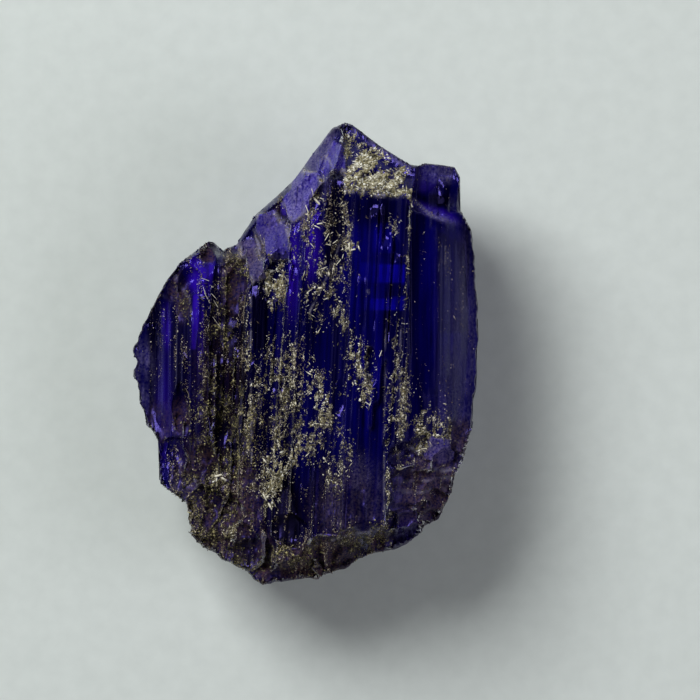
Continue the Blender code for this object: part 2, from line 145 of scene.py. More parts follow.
room = bpy.data.worlds.new("room")
bpy.context.scene.world = room
room.use_nodes = True
looking = node(room, "ShaderNodeTexCoord").outputs["Generated"]
upwards = node(room, "ShaderNodeSeparateXYZ", {0: looking}).outputs["Z"]
fading = node(room, "ShaderNodeMapRange",
              {0: upwards, 1: 0.25, 2: 0.85, 3: WALL_STRENGTH, 4: OVERHEAD_STRENGTH}).outputs[0]
background = room.node_tree.nodes["Background"]
background.inputs["Color"].default_value = linear("#eef4f2")
room.node_tree.links.new(fading, background.inputs["Strength"])
bpy.context.scene.view_settings.view_transform = "Standard"
print("a room of", len(room.node_tree.nodes), "nodes")

# %% The floor
FLOOR_HALF = 400.0
floor_mesh = bpy.data.meshes.new("floor")
floor_mesh.from_pydata([(x * FLOOR_HALF * MM, y * FLOOR_HALF * MM, 0.0) for x, y in
                        ((-1, -1), (1, -1), (1, 1), (-1, 1))], [], [(0, 1, 2, 3)])
floor = placed("floor", floor_mesh)
floor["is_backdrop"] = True
print("a floor", 2 * FLOOR_HALF, "mm wide")

# %% [markdown]
# ## Numbers that look natural
# Grown and broken surfaces need uneven numbers that come out the same on each run. Value noise gives them: a
# random number at each corner of a square lattice, and smooth blending in between. It is worked out for a
# whole array of points at once.

# %% Value noise
def lattice(ix, iy, seed):
    """A fixed pseudo-random number from 0 to 1 for each pair of whole numbers. The pair is scrambled by
    multiplying with large odd numbers and mixing high bits into low ones."""
    h = (ix.astype(np.int64) * 374761393 + iy.astype(np.int64) * 668265263 + seed * 974634777) & 0xFFFFFFFF
    h = ((h ^ (h >> 13)) * 1274126177) & 0xFFFFFFFF
    h = ((h ^ (h >> 16)) * 2246822519) & 0xFFFFFFFF
    return ((h ^ (h >> 15)) & 0xFFFFFF) / float(0xFFFFFF)


def noise(x, y, seed):
    """Value noise from -1 to 1: the four lattice numbers round a point, blended with 3t^2 - 2t^3."""
    fx, fy = np.floor(x), np.floor(y)
    tx, ty = x - fx, y - fy
    tx, ty = tx * tx * (3 - 2 * tx), ty * ty * (3 - 2 * ty)
    a = lattice(fx, fy, seed) * (1 - tx) + lattice(fx + 1, fy, seed) * tx
    b = lattice(fx, fy + 1, seed) * (1 - tx) + lattice(fx + 1, fy + 1, seed) * tx
    return 2 * (a * (1 - ty) + b * ty) - 1


def rough(x, y, seed, octaves=4):
    """Several layers of noise, each twice as fine as the last and half as strong. Their sum is divided by
    1.6, which keeps nearly all of it between -1 and 1."""
    layers = [noise(x * 2 ** k, y * 2 ** k, seed + k) / 2 ** k for k in range(octaves)]
    return sum(layers) / 1.6


def smooth(low, high, value):
    """0 at low and before, 1 at high and beyond, and 3t^2 - 2t^3 in between. low may be the larger."""
    t = np.clip((value - low) / (high - low), 0.0, 1.0)
    return t * t * (3 - 2 * t)


trial = rough(*np.meshgrid(np.arange(0.0, 40.0, 0.37), np.arange(0.0, 40.0, 0.41)), 1)
print("rough noise from", trial.min().round(2), "to", trial.max().round(2))

# %% [markdown]
# ## The skin of the crystal
# The CAD solid has the crystal's blades, steps and chips, but only a few thousand flat faces. The real faces
# carry striations, fine straight steps that run the length of the stone. They could be drawn with a bump
# map, but then the outline and the shadows would stay smooth. So the skin is a surface worked out on a grid:
# one parameter u numbers straight lines that run along the striations, and the other, v, goes from the foot
# of each line to its top. The lines lean as the growth blades do, so that a ridge follows one line.

# %% The lines of the grid
COLUMNS = 372
ROWS = 206
# Rows beyond a line's own ends are this share of the usual spacing apart
SQUEEZED = 0.01
# Rows within EDGE_WIDTH millimetres of an end are closer by this share
EDGE_WIDTH = 0.35
EDGE_CLOSER = 0.5
END_SOFTNESS = 0.06
# Lines within this share of the width from either side are closer, so that there are 2.2 for one
SIDE_SHARE = 0.09
SIDE_EXTRA = 1.2
# The first and the last line stay this far inside the outline, in millimetres
INSET = 0.012
# How far the lines at LEAN_AT drift along +X for each millimetre along +Y
LEAN_AT = np.array([-8.2, -4.2, -3.4, 3.2, 4.24, 4.80, 8.2])
LEANS = np.array([0.010, 0.010, 0.045, 0.045, 0.064, 0.004, 0.004])


def lean(u):
    """How far line u drifts along +X for each millimetre along +Y."""
    return np.interp(u, LEAN_AT, LEANS)


def crowded(count, edge, extra):
    """count + 1 numbers from 0 to 1, closer together within edge of either end, where their spacing falls
    smoothly to 1 / (1 + extra) of that in the middle."""
    t = np.linspace(0.0, 1.0, 2001)
    density = 1 + extra * (1 - smooth(0.0, edge, np.minimum(t, 1 - t)))
    total = np.concatenate([[0.0], np.cumsum((density[1:] + density[:-1]) / 2)])
    return np.interp(np.linspace(0.0, 1.0, count + 1), total / total[-1], t)


def level_shares(low_y, high_y):
    """Where the rows cross each line, as shares of its length. Rows lie level across the whole stone, so
    that a ledge runs straight through them, but beyond a line's own ends they're squeezed, and near its ends
    they lie closer, because the edge is steep there. The share is the running sum of the spacings, divided
    by its total."""
    middle = np.linspace(LOW[1], HIGH[1], ROWS + 1)
    middle = (middle[1:] + middle[:-1])[None] / 2
    inside = np.minimum(middle - low_y[:, None], high_y[:, None] - middle)
    closer = EDGE_CLOSER * (1 - smooth(0.0, EDGE_WIDTH, inside))
    spacing = SQUEEZED + smooth(-END_SOFTNESS, END_SOFTNESS, inside) * (1 - closer)
    total = np.concatenate([np.zeros((len(low_y), 1)), np.cumsum(spacing, axis=1)], axis=1)
    return total / total[:, -1:]


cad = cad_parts["crystal"]
cad.data.calc_loop_triangles()
cad_points = np.empty(len(cad.data.vertices) * 3, np.float32)
cad.data.vertices.foreach_get("co", cad_points)
cad_points = cad_points.reshape(-1, 3).astype(float) / MM
cad_triangles = np.empty(len(cad.data.loop_triangles) * 3, np.int32)
cad.data.loop_triangles.foreach_get("vertices", cad_triangles)
cad_triangles = cad_triangles.reshape(-1, 3)
cad_edges = np.concatenate([cad_triangles[:, [0, 1]], cad_triangles[:, [1, 2]], cad_triangles[:, [2, 0]]])
EDGE_A, EDGE_B = cad_points[cad_edges[:, 0]], cad_points[cad_edges[:, 1]]
print(len(cad_triangles), "triangles in the CAD solid")


def outline_of(u):
    """Where each line u leaves the CAD solid as seen from above: (lowest y, its z, highest y, its z). Line u
    is the plane x - lean * y = u. Each CAD edge that has its ends on both sides of it crosses it at a share
    d0 / (d0 - d1) of its length, where d0 and d1 are the ends' distances from the plane."""
    slant = lean(u)[:, None]
    d0 = EDGE_A[:, 0][None] - slant * EDGE_A[:, 1][None] - u[:, None]
    d1 = EDGE_B[:, 0][None] - slant * EDGE_B[:, 1][None] - u[:, None]
    crosses = d0 * d1 < 0
    share = np.where(crosses, d0 / np.where(crosses, d0 - d1, 1.0), 0.0)
    y = EDGE_A[:, 1] + share * (EDGE_B[:, 1] - EDGE_A[:, 1])
    z = EDGE_A[:, 2] + share * (EDGE_B[:, 2] - EDGE_A[:, 2])
    low = np.where(crosses, y, np.inf).argmin(1)
    high = np.where(crosses, y, -np.inf).argmax(1)
    at = np.arange(len(u))
    return y[at, low], z[at, low], y[at, high], z[at, high]


ends = cad_points[:, 0] - lean(cad_points[:, 0]) * cad_points[:, 1]
FIRST, LAST = ends.min() + INSET, ends.max() - INSET
U = FIRST + (LAST - FIRST) * crowded(COLUMNS, SIDE_SHARE, SIDE_EXTRA)
foot_y, foot_z, top_y, top_z = outline_of(U)
SHARES = level_shares(foot_y, top_y)
print("lines", len(U), "of", round(float((top_y - foot_y).max()), 2), "mm at most")

# %% [markdown]
# Each grid point is then dropped on the solid along a vertical ray, by Blender's Shrinkwrap modifier. The
# front gets a fine sheet and the back a coarser one, and both end on the same outline.

# %% Dropping the grid on the solid
# A height above everything, from which a point is dropped
FAR = 30.0
# The notch in the right side, below the horns: its middle, half length and depth, and the lines that it moves
NOTCH_Y = 6.75
NOTCH_HALF = 0.75
NOTCH_DEPTH = 0.12
NOTCH_LINES = (6.2, 6.75, 6.93, 6.96)


def wrapped(points, **settings):
    """Loose points laid on the CAD solid by Blender's Shrinkwrap modifier, with its settings as given."""
    mesh = bpy.data.meshes.new("sheet")
    mesh.vertices.add(points.size // 3)
    mesh.vertices.foreach_set("co", (points * MM).astype(np.float32).ravel())
    obj = placed("sheet", mesh)
    wrap = obj.modifiers.new("wrap", "SHRINKWRAP")
    wrap.target = cad
    for key, value in settings.items():
        setattr(wrap, key, value)
    laid = obj.evaluated_get(bpy.context.evaluated_depsgraph_get()).to_mesh()
    out = np.empty(points.size, np.float32)
    laid.vertices.foreach_get("co", out)
    bpy.data.objects.remove(obj)
    bpy.data.meshes.remove(mesh)
    return out.reshape(points.shape).astype(float) / MM


def sheet_points(u, share, low_y, low_z, high_y, high_z, from_above):
    """Points of the front or the back on lines u at the given shares of their length, as an array
    (lines, rows, 3). Each travels along Z until it meets the solid. One that misses it, beside a notch in
    the outline, goes to the nearest place on it. The ends of each line lie on the outline."""
    y = low_y[:, None] + (high_y - low_y)[:, None] * share
    first, full, last, none = NOTCH_LINES
    beside_notch = (smooth(first, full, u) * (1 - smooth(last, none, u)))[:, None]
    notch = NOTCH_DEPTH * beside_notch * np.exp(-((y - NOTCH_Y) / NOTCH_HALF) ** 2)
    x = u[:, None] + lean(u)[:, None] * y - notch
    start = FAR if from_above else -FAR
    over = np.stack([x, y, np.full_like(x, start)], axis=-1)
    laid = wrapped(over, wrap_method="PROJECT", use_project_z=True, use_negative_direction=from_above,
                   use_positive_direction=not from_above)
    missed = np.abs(laid[..., 2] - start) < 1e-3
    missed[:, [0, -1]] = False
    laid[..., 2] = np.where(missed, low_z[:, None] + (high_z - low_z)[:, None] * share, laid[..., 2])
    laid[missed] = wrapped(laid[missed], wrap_method="NEAREST_SURFACEPOINT")
    laid[:, 0, 2], laid[:, -1, 2] = low_z, high_z
    print("above:" if from_above else "below:", int(missed.sum()), "points missed the solid")
    return laid


front = sheet_points(U, SHARES, foot_y, foot_z, top_y, top_z, True)
back = sheet_points(U[::2], SHARES[::2, ::2], foot_y[::2], foot_z[::2], top_y[::2], top_z[::2], False)

# %% [markdown]
# The solid is rounded at its rim and has a few clean scoops, which real broken ground doesn't have. So the
# front is put right: its edges are made sharp, the scoops are mostly filled, the right side is evened out,
# and the outline is bitten into where the stone is broken.

# %% Sharp edges
# The width of the solid's rounded rim, and of the steep wall that takes its place, in millimetres
BEVEL = 0.5
WALL = 0.05
OUTLINE_STEP = 0.08


def outline_loop():
    """The outline as seen from above, as points (n, 2) every OUTLINE_STEP: the feet of the lines, then their
    tops in reverse, with points filled in by their distance along it."""
    x = np.concatenate([U + lean(U) * foot_y, (U + lean(U) * top_y)[::-1]])
    y = np.concatenate([foot_y, top_y[::-1]])
    x, y = np.append(x, x[0]), np.append(y, y[0])
    run = np.concatenate([[0.0], np.cumsum(np.hypot(np.diff(x), np.diff(y)))])
    at = np.arange(0.0, run[-1], OUTLINE_STEP)
    return np.stack([np.interp(at, run, x), np.interp(at, run, y)], axis=-1)


def from_outline(points):
    """For each point, seen from above: how far it is from the outline, and the direction away from it. The
    loop goes over the outline's few hundred corners, and measures the whole grid to one of them at a time."""
    best = np.full(points.shape[:-1], np.inf)
    away = np.zeros(points.shape[:-1] + (2,))
    for corner in outline_loop():
        step = points[..., :2] - corner
        far = (step ** 2).sum(-1)
        nearer = far < best
        best = np.where(nearer, far, best)
        away[nearer] = step[nearer]
    distance = np.sqrt(best)
    return distance, away / np.maximum(distance, 1e-9)[..., None]


def squared(points, distance, away):
    """The front with its rounded rim filled, because the real faces run out to sharp edges. A point within
    BEVEL of the outline rises to the height that the solid has BEVEL in from there."""
    further = points.copy()
    further[..., :2] += away * np.maximum(BEVEL - distance, 0.0)[..., None]
    further[..., 2] = FAR
    inner = wrapped(further, wrap_method="PROJECT", use_project_z=True, use_negative_direction=True,
                    use_positive_direction=False)[..., 2]
    rise = np.where(inner < FAR - 1, np.maximum(inner - points[..., 2], 0.0), 0.0)
    # The left flank of the crest really is a slope, and keeps it
    sloping = smooth(4.0, 5.0, points[..., 1]) * smooth(1.6, 0.6, points[..., 0])
    raised = points.copy()
    raised[..., 2] += rise * smooth(0.0, WALL, distance) * (distance < BEVEL) * (1 - 0.85 * sloping)
    return raised


edge_distance, edge_away = from_outline(front)
front = squared(front, edge_distance, edge_away)
print(int((edge_distance < BEVEL).sum()), "points near the outline put right")

# %% Filled scoops, an even side and an uneven outline
# The scoops that are too clean for broken ground: (x, y, half width, half length) in millimetres
PITS = [
    (-2.84, -8.00, 0.90, 1.20), (0.60, -9.20, 0.90, 0.80), (-5.00, -7.20, 0.70, 0.90),
    (2.90, -8.10, 0.80, 0.80), (1.60, -8.80, 0.90, 0.70), (5.90, 6.90, 0.90, 0.50),
    (-6.20, -5.30, 0.60, 0.70), (-5.40, -5.00, 0.50, 0.70),
]
# How far the filling looks for higher ground, in lines and in rows
PIT_LINES = 18
PIT_ROWS = 8
PIT_FILL = 0.8
# How many lines on either side the evening averages, and how much of it is used
EVEN_REACH = 9
EVEN_SHARE = 0.9
# The deepest bite in the outline, in millimetres
RAGGED = 0.16


def moved_extreme(values, reach, axis, pick):
    """The largest or smallest value within reach places along one axis, by comparing shifted copies."""
    out = values
    for shift in range(-reach, reach + 1):
        out = pick(out, np.roll(values, shift, axis))
    return out


def without_pits(height):
    """The heights with narrow pits filled: first the largest height nearby at each point, and then the
    smallest of those nearby."""
    for pick in (np.maximum, np.minimum):
        for axis, reach in ((0, PIT_LINES), (1, PIT_ROWS)):
            height = moved_extreme(height, reach, axis, pick)
    return height


def scoops_filled(points, distance):
    """The front with the scoops of PITS mostly filled. A scoop's share at a point is exp(-r^4), where r is
    the distance from its middle in its half widths and half lengths, and it fades out at the outline."""
    x, y = points[..., 0], points[..., 1]
    filled = without_pits(points[..., 2]) - points[..., 2]
    pitted = np.zeros_like(filled)
    for pit_x, pit_y, wide, long in PITS:
        squared_away = ((x - pit_x) / wide) ** 2 + ((y - pit_y) / long) ** 2
        pitted = np.maximum(pitted, np.exp(-squared_away ** 2))
    out = points.copy()
    out[..., 2] += PIT_FILL * filled * pitted * smooth(0.1, 0.5, distance)
    return out


def averaged_across(height, reach):
    """The average of each height and those up to reach lines away on either side, in its own row."""
    return sum(np.roll(height, shift, axis=0) for shift in range(-reach, reach + 1)) / (2 * reach + 1)


def evened(points):
    """The front with its right side made one even face, without the solid's separate columns: each height
    there moves EVEN_SHARE of the way to the average across its row."""
    x, y, height = points[..., 0], points[..., 1], points[..., 2]
    even = smooth(5.0, 5.5, x) * smooth(7.35, 7.05, x) * smooth(-3.5, -2.9, y) * smooth(5.9, 5.3, y)
    out = points.copy()
    out[..., 2] += EVEN_SHARE * even * (averaged_across(height, EVEN_REACH) - height)
    return out


front = evened(scoops_filled(front, edge_distance))
# At either side the front and the back meet halfway up the wall between them
for side in (0, -1):
    halfway = (front[side, ::2] + back[side]) / 2
    back[side] = halfway
    front[side, ::2] = halfway
    front[side, 1::2] = (halfway[1:] + halfway[:-1]) / 2


def ragged(points, distance):
    """The outline broken up: points near it move towards the stone's axis by up to RAGGED, less the
    further in they lie, and most on the broken left and lower sides."""
    x, y = points[..., 0], points[..., 1]
    left_low = smooth(-3.0, -6.0, x) * smooth(1.5, -1.5, y)
    broken = np.clip(0.12 + left_low + smooth(-7.0, -9.0, y) + smooth(4.5, 6.5, x - 0.4 * y), 0.0, 1.0)
    bites = (0.8 * np.abs(rough(x / 0.70, y / 0.60, 131, 2))
             + 0.6 * smooth(0.0, 0.4, noise(x / 0.8, y / 0.7, 139)))
    shift = RAGGED * broken * np.clip(bites, 0.0, 1.0) * np.exp(-distance / 0.3)
    middle = np.stack([x, 0.8 * y], axis=-1)
    out = points.copy()
    out[..., :2] -= middle / np.linalg.norm(middle, axis=-1, keepdims=True) * shift[..., None]
    return out


front = ragged(front, edge_distance)
back = ragged(back, from_outline(back)[0])
print("front from", front[..., 2].min().round(2), "to", front[..., 2].max().round(2), "mm high")

# %% [markdown]
# ## Where the stone is clean, frosted, brown or crusted, and where light and shade are painted
# The real stone isn't the same all over. Feldspar and calcite dust from the pocket where it grew sticks in
# the recesses, the crest and the sides are etched to a lavender frost, and the broken foot is brownish. Light
# and shade are painted in as well: painted shade in hollows, grooves, on the steep rim and on some ledges, a
# painted violet glow where thin places let light through and a painted blue glow inside the middle, a painted
# sheen on the frosted faces and along the striations, painted highlights along some edges, and a painted warm
# reflection on the foot. Each of these is a mask from 0 to 1, made of soft ellipses, flat facets and strokes
# that are listed and broken up with noise. The masks are used three times: for the depth of the relief, for
# the colours, and to decide where the grains stick.

# %% The masks
def patches_at(x, y, rows):
    """The strongest of several soft ellipses at each point. A row is (x, y, half width, half length, turn
    in degrees, strength), and its value is strength * exp(-(distance / half size)^4)."""
    out = np.zeros_like(x)
    for cx, cy, wide, long, turn, strength in rows:
        c, s = math.cos(math.radians(turn)), math.sin(math.radians(turn))
        across = ((x - cx) * c + (y - cy) * s) / wide
        along = ((y - cy) * c - (x - cx) * s) / long
        out = np.maximum(out, strength * np.exp(-(across ** 2 + along ** 2) ** 2))
    return out


CREAM_PATCHES = [
    (2.60, 7.55, 0.90, 0.40, 5.0, 0.90),     # crumbs at the lower edge of the cap
    (0.25, 6.70, 0.24, 1.40, -18.0, 0.75),   # the seam beside the six-sided crest face
    (0.75, 3.85, 1.05, 2.70, 0.0, 0.42),     # loose curls under the crest
    (1.20, 2.40, 0.30, 2.20, 24.0, 0.75),
    (1.85, 5.40, 0.20, 1.20, 0.0, 0.60),
    (2.02, 4.80, 0.28, 0.28, 0.0, 1.10),
    (-1.50, 3.60, 0.48, 1.50, -8.0, 0.95),   # the recess beside the purple face
    (-2.62, -1.35, 0.14, 4.10, 0.5, 0.80),
    (-1.00, -1.60, 1.30, 2.60, 0.0, 0.62),   # the wide crust in the middle
    (-0.40, -3.90, 0.85, 2.70, -38.0, 0.95),
    (-1.35, -5.70, 0.36, 1.15, -6.0, 1.20),
    (-1.90, -6.60, 0.16, 0.80, 12.0, 0.90),
    (0.30, -2.00, 0.90, 1.30, 0.0, 0.60),
    (2.30, -0.40, 0.62, 1.30, 8.0, 0.70),
    (2.70, -1.50, 0.30, 0.70, 0.0, 0.85),
    (1.20, -4.50, 0.70, 1.60, 0.0, 0.45),
    (1.00, -5.30, 0.14, 0.80, 0.0, 0.80),
    (2.00, -3.40, 0.12, 1.30, 0.0, 0.60),
    (4.15, -1.90, 0.55, 3.50, 1.5, 0.55),    # the ridge band
    (3.70, -6.10, 0.13, 3.00, 2.0, 0.80),
    (4.55, 4.05, 0.09, 3.40, -3.5, 0.60),
    (5.80, -3.20, 0.95, 0.80, -20.0, 0.78),  # the broken corner at the lower right
    (5.05, -4.20, 0.55, 0.16, 8.0, 1.00),
    (-3.95, -5.45, 0.38, 0.30, 0.0, 1.00),
    (-3.50, -8.00, 0.38, 0.36, 0.0, 0.90),
    (1.70, 6.60, 0.25, 0.50, 20.0, 0.50),
    (3.95, 5.80, 0.25, 0.60, 0.0, 0.40),
]
OLIVE_PATCHES = [
    (-3.30, 3.50, 0.60, 1.30, 0.0, 0.95),    # the recess beside the left shard
    (-1.45, 2.60, 0.45, 0.90, -8.0, 0.85),
    (-2.75, -1.20, 0.32, 3.20, 0.0, 0.75),
    (-4.00, -1.20, 1.30, 2.70, 0.0, 0.55),
    (-3.70, 1.40, 0.85, 1.80, 0.0, 0.75),
    (-3.50, -2.60, 1.70, 3.20, 0.0, 0.85),
    (-4.30, 2.60, 0.40, 0.60, -30.0, 0.55),
    (-5.60, 2.50, 0.25, 0.80, 0.0, 0.70),
    (-5.20, -1.60, 0.25, 2.40, 0.0, 0.35),
    (-4.50, -7.20, 1.80, 2.20, 0.0, 0.80),
    (-3.00, -9.30, 1.00, 0.60, -30.0, 0.90),
    (-2.80, -4.20, 1.10, 1.60, 0.0, 0.60),
    (-1.20, -3.20, 0.70, 2.20, -10.0, 0.60),
    (-5.50, 2.60, 0.30, 1.20, 10.0, 0.35),
    (1.20, -8.90, 0.75, 2.60, -73.0, 0.95),  # the broken foot
    (2.60, -8.30, 0.70, 1.20, -70.0, 0.80),
    (-1.20, -8.90, 0.50, 1.10, -80.0, 0.70),
    (5.85, -3.50, 0.80, 0.55, 0.0, 0.60),
    (3.30, 7.70, 1.60, 0.55, 0.0, 0.55),
]
# Frost: etched lavender frost, partly a painted sheen where the faces would mirror the soft light
FROST_AND_SHEEN_PATCHES = [
    (7.25, -0.60, 0.80, 5.60, 0.0, 0.16),    # the side face of the right column
    (6.30, -2.60, 0.35, 3.20, 0.0, 0.10),
    (0.50, 9.10, 0.55, 1.70, -38.0, 0.85),   # the crest
    (0.70, 8.00, 0.50, 0.90, 0.0, 0.35),
    (5.90, -5.20, 1.10, 1.30, 0.0, 0.35),
    (5.00, -6.60, 1.00, 1.10, 0.0, 0.30),
    (2.00, -6.20, 1.50, 1.60, 0.0, 0.35),
    (5.80, 6.30, 1.10, 0.20, -22.0, 0.35),
    (5.90, 8.20, 0.90, 0.50, 0.0, 0.35),
    (-7.35, -1.00, 0.45, 1.60, 0.0, 0.50),
    (-5.60, -6.80, 0.90, 1.20, 0.0, 0.55),
]
# Brown: stains on broken ground, partly painted shade, dark and dull over ledges that would catch the light,
# and on the foot partly a painted warm reflection
BROWN_AND_SHADE_PATCHES = [
    (-3.90, -7.60, 1.70, 1.90, 0.0, 0.90),   # the lower left
    (-4.80, -5.20, 1.30, 1.60, 0.0, 0.60),
    (0.90, -9.10, 0.95, 3.10, -73.0, 1.00),  # the broken foot
    (-1.95, -9.20, 0.45, 1.40, 0.0, 0.95),
    (-3.35, 3.40, 0.55, 1.50, 0.0, 0.80),
    (-5.60, 2.50, 0.32, 0.95, 0.0, 0.90),
    # Painted shade: dark brown and dull over ledges whose steep sides would catch the light
    (-6.65, -3.10, 0.50, 1.00, 0.0, 1.00),
    (-5.70, -2.90, 0.45, 0.85, 0.0, 1.00),
    (6.95, -3.80, 0.55, 0.90, 0.0, 0.70),
    (1.70, -6.70, 1.70, 1.60, 0.0, 0.35),
    (-5.90, 3.10, 0.30, 0.70, -20.0, 0.70),
    (-2.90, -6.80, 0.90, 2.00, 0.0, 0.80),
    (-4.45, 4.75, 0.40, 0.50, 0.0, 1.00),
    (-2.60, 4.45, 0.40, 1.10, -28.0, 0.60),
    (-4.10, -1.20, 1.20, 2.80, 0.0, 0.20),
    (6.10, -7.40, 0.60, 0.40, 20.0, 0.90),
    (5.60, -6.10, 1.70, 2.10, 0.0, 0.75),
    (-1.60, 6.10, 0.40, 0.80, -30.0, 0.35),
]
# Violet: partly the stone's own violet on the purple and six-sided faces, partly a painted glow where thin
# places let light through, and painted highlights on a chip and along the lower edge of the horns
VIOLET_AND_GLOW_PATCHES = [
    (-4.75, 0.90, 0.12, 1.50, -4.0, 0.70),   # bright streaks in the left shard
    (-4.40, 3.60, 0.24, 0.95, -10.0, 0.80),
    (-4.95, 3.60, 0.45, 0.80, 0.0, 0.90),
    (-6.35, 1.20, 0.22, 1.10, 0.0, 0.70),
    (-6.45, -2.20, 0.40, 2.70, 0.0, 0.35),
    (-5.70, -3.40, 0.30, 1.60, 0.0, 0.25),
    (0.15, 6.90, 0.30, 1.10, -8.0, 0.85),    # thin places under the crest
    (-0.55, 4.30, 0.30, 2.60, -3.0, 0.60),
    (0.65, 8.50, 0.30, 0.60, -20.0, 0.70),
    (0.20, 4.90, 0.50, 1.60, 0.0, 0.50),
    (-0.05, 7.10, 0.10, 0.40, -38.0, 1.50),  # a bright chip in the six-sided face
    (-0.80, 7.00, 0.30, 0.50, -20.0, 0.80),
    (5.40, 7.80, 0.70, 0.55, 0.0, 0.35),
    (5.75, 6.45, 1.10, 0.26, -22.0, 0.60),   # the lower edge of the horns
    (4.60, -7.80, 0.60, 0.60, 0.0, 0.35),
]
# Painted glow: bright blue laid where light is caught inside the middle and the right column
PAINTED_INNER_GLOW = [
    (2.60, 3.60, 1.10, 2.60, 0.0, 0.40),     # light caught inside the middle and the right column
    (2.90, -1.20, 0.70, 4.20, 0.0, 0.50),
    (5.60, 2.40, 0.55, 3.90, 0.0, 0.42),
    (6.40, 3.00, 0.45, 2.60, 0.0, 0.35),
    (1.60, -5.60, 1.20, 2.00, 0.0, 0.30),
]
# Painted shade: a near-black colour laid into hollows, grooves, the shade under the cap, and ledges whose steep
# sides would catch the light
PAINTED_SHADE_PATCHES = [
    (-0.90, -7.20, 0.85, 2.40, 0.0, 1.00),   # the darkest hollow, above the foot
    (1.60, -6.40, 1.90, 2.40, 0.0, 0.90),
    (-2.05, 1.70, 0.42, 2.10, 0.0, 0.90),    # the sunk face left of the middle
    (-4.40, -0.50, 0.12, 4.60, 0.6, 1.00),   # the seam beside the left shard
    (-3.30, 1.60, 0.22, 2.20, 0.0, 0.70),
    (3.20, 6.50, 1.50, 0.80, 0.0, 0.70),     # the shade under the cap
    (-3.40, -2.40, 1.60, 4.20, 0.0, 0.80),
    (-4.80, -4.60, 1.20, 3.20, 0.0, 0.60),
    (-3.20, -7.00, 1.20, 2.60, 0.0, 0.65),
    (-6.80, 0.20, 0.50, 2.40, 0.0, 0.50),
    (5.90, -6.40, 1.50, 1.70, 0.0, 0.70),
    (4.75, 2.00, 0.20, 4.60, -3.0, 0.60),    # the groove between the ridge and the right column
    (6.70, 4.20, 0.60, 1.60, 0.0, 0.50),
    (-3.50, 3.60, 0.45, 1.40, 0.0, 0.75),
    (-3.60, 0.80, 0.95, 2.60, 0.0, 0.95),
    (-3.20, -3.60, 1.80, 3.40, 0.0, 0.80),
    (-5.60, -1.00, 0.90, 3.40, 0.0, 0.55),
    (-4.60, -7.40, 1.80, 1.60, 0.0, 0.55),
    (3.10, -6.00, 0.70, 2.40, 0.0, 0.50),
    (5.50, 1.50, 1.10, 5.50, 0.0, 0.35),
    (5.60, 7.60, 1.30, 0.80, 0.0, 0.45),
    (3.10, 0.60, 0.80, 1.30, 0.0, 0.35),
    (-6.30, 4.00, 0.40, 0.90, -30.0, 0.60),
    (6.95, -3.80, 0.55, 0.90, 0.0, 1.00),    # ledges whose steep sides would catch the light
    (5.90, 6.95, 0.75, 0.38, 0.0, 1.00),
    (-6.65, -3.10, 0.50, 1.00, 0.0, 0.60),
    (-5.70, -2.90, 0.45, 0.85, 0.0, 0.60),
    (-3.70, -3.80, 0.25, 0.50, 0.0, 0.90),
    (-2.30, 2.95, 0.20, 0.28, 0.0, 1.00),
    (-2.90, -9.40, 0.80, 0.50, -30.0, 0.90),
    (-1.75, 3.00, 0.20, 0.50, 0.0, 0.90),
]

# Broken ground, rough and dusty
HACKLED = [
    (-4.30, -7.20, 1.90, 3.00, 0.0, 1.25),   # the lower left
    (-5.90, -5.20, 1.00, 1.30, 0.0, 0.90),
    (1.20, -9.10, 1.10, 3.30, -73.0, 0.90),  # the broken foot
    (5.70, -6.00, 1.40, 1.90, 0.0, 0.55),
    (-4.00, 1.50, 1.10, 3.40, 0.0, 0.45),
]

# Outlines of flat faces, by their corners in millimetres, counterclockwise
CAP_FACE = [(1.76, 9.95), (1.76, 7.40), (4.73, 7.07), (4.73, 8.20), (2.00, 10.05)]
HEX_FACE = [(-1.10, 6.80), (-0.60, 5.90), (-0.10, 6.40), (0.55, 7.43), (0.68, 7.75), (0.30, 8.30),
            (-0.15, 8.30), (-0.55, 7.95)]
PURPLE_FACE = [(-2.20, 6.35), (-2.30, 5.60), (-1.70, 4.20), (-0.80, 4.25), (-0.76, 4.85), (-1.00, 5.80),
               (-1.45, 6.40)]
ROOF_FACE = [(-3.15, 5.05), (-2.39, 3.29), (-1.70, 3.47), (-2.60, 5.27)]
SUNK_FACE = [(-2.50, 3.25), (-2.50, 0.20), (-1.72, 0.20), (-1.72, 3.40)]
LINED_FACE = [(0.90, 9.00), (0.90, 8.40), (1.25, 8.30), (1.76, 8.35), (1.76, 9.40), (1.20, 9.70)]
GLASSY_LUMP = [(5.50, -3.75), (5.45, -4.60), (6.10, -4.95), (6.65, -4.70), (6.60, -3.75)]
DARK_BOX = [(4.10, -7.10), (4.10, -8.50), (4.92, -8.60), (4.95, -7.10)]
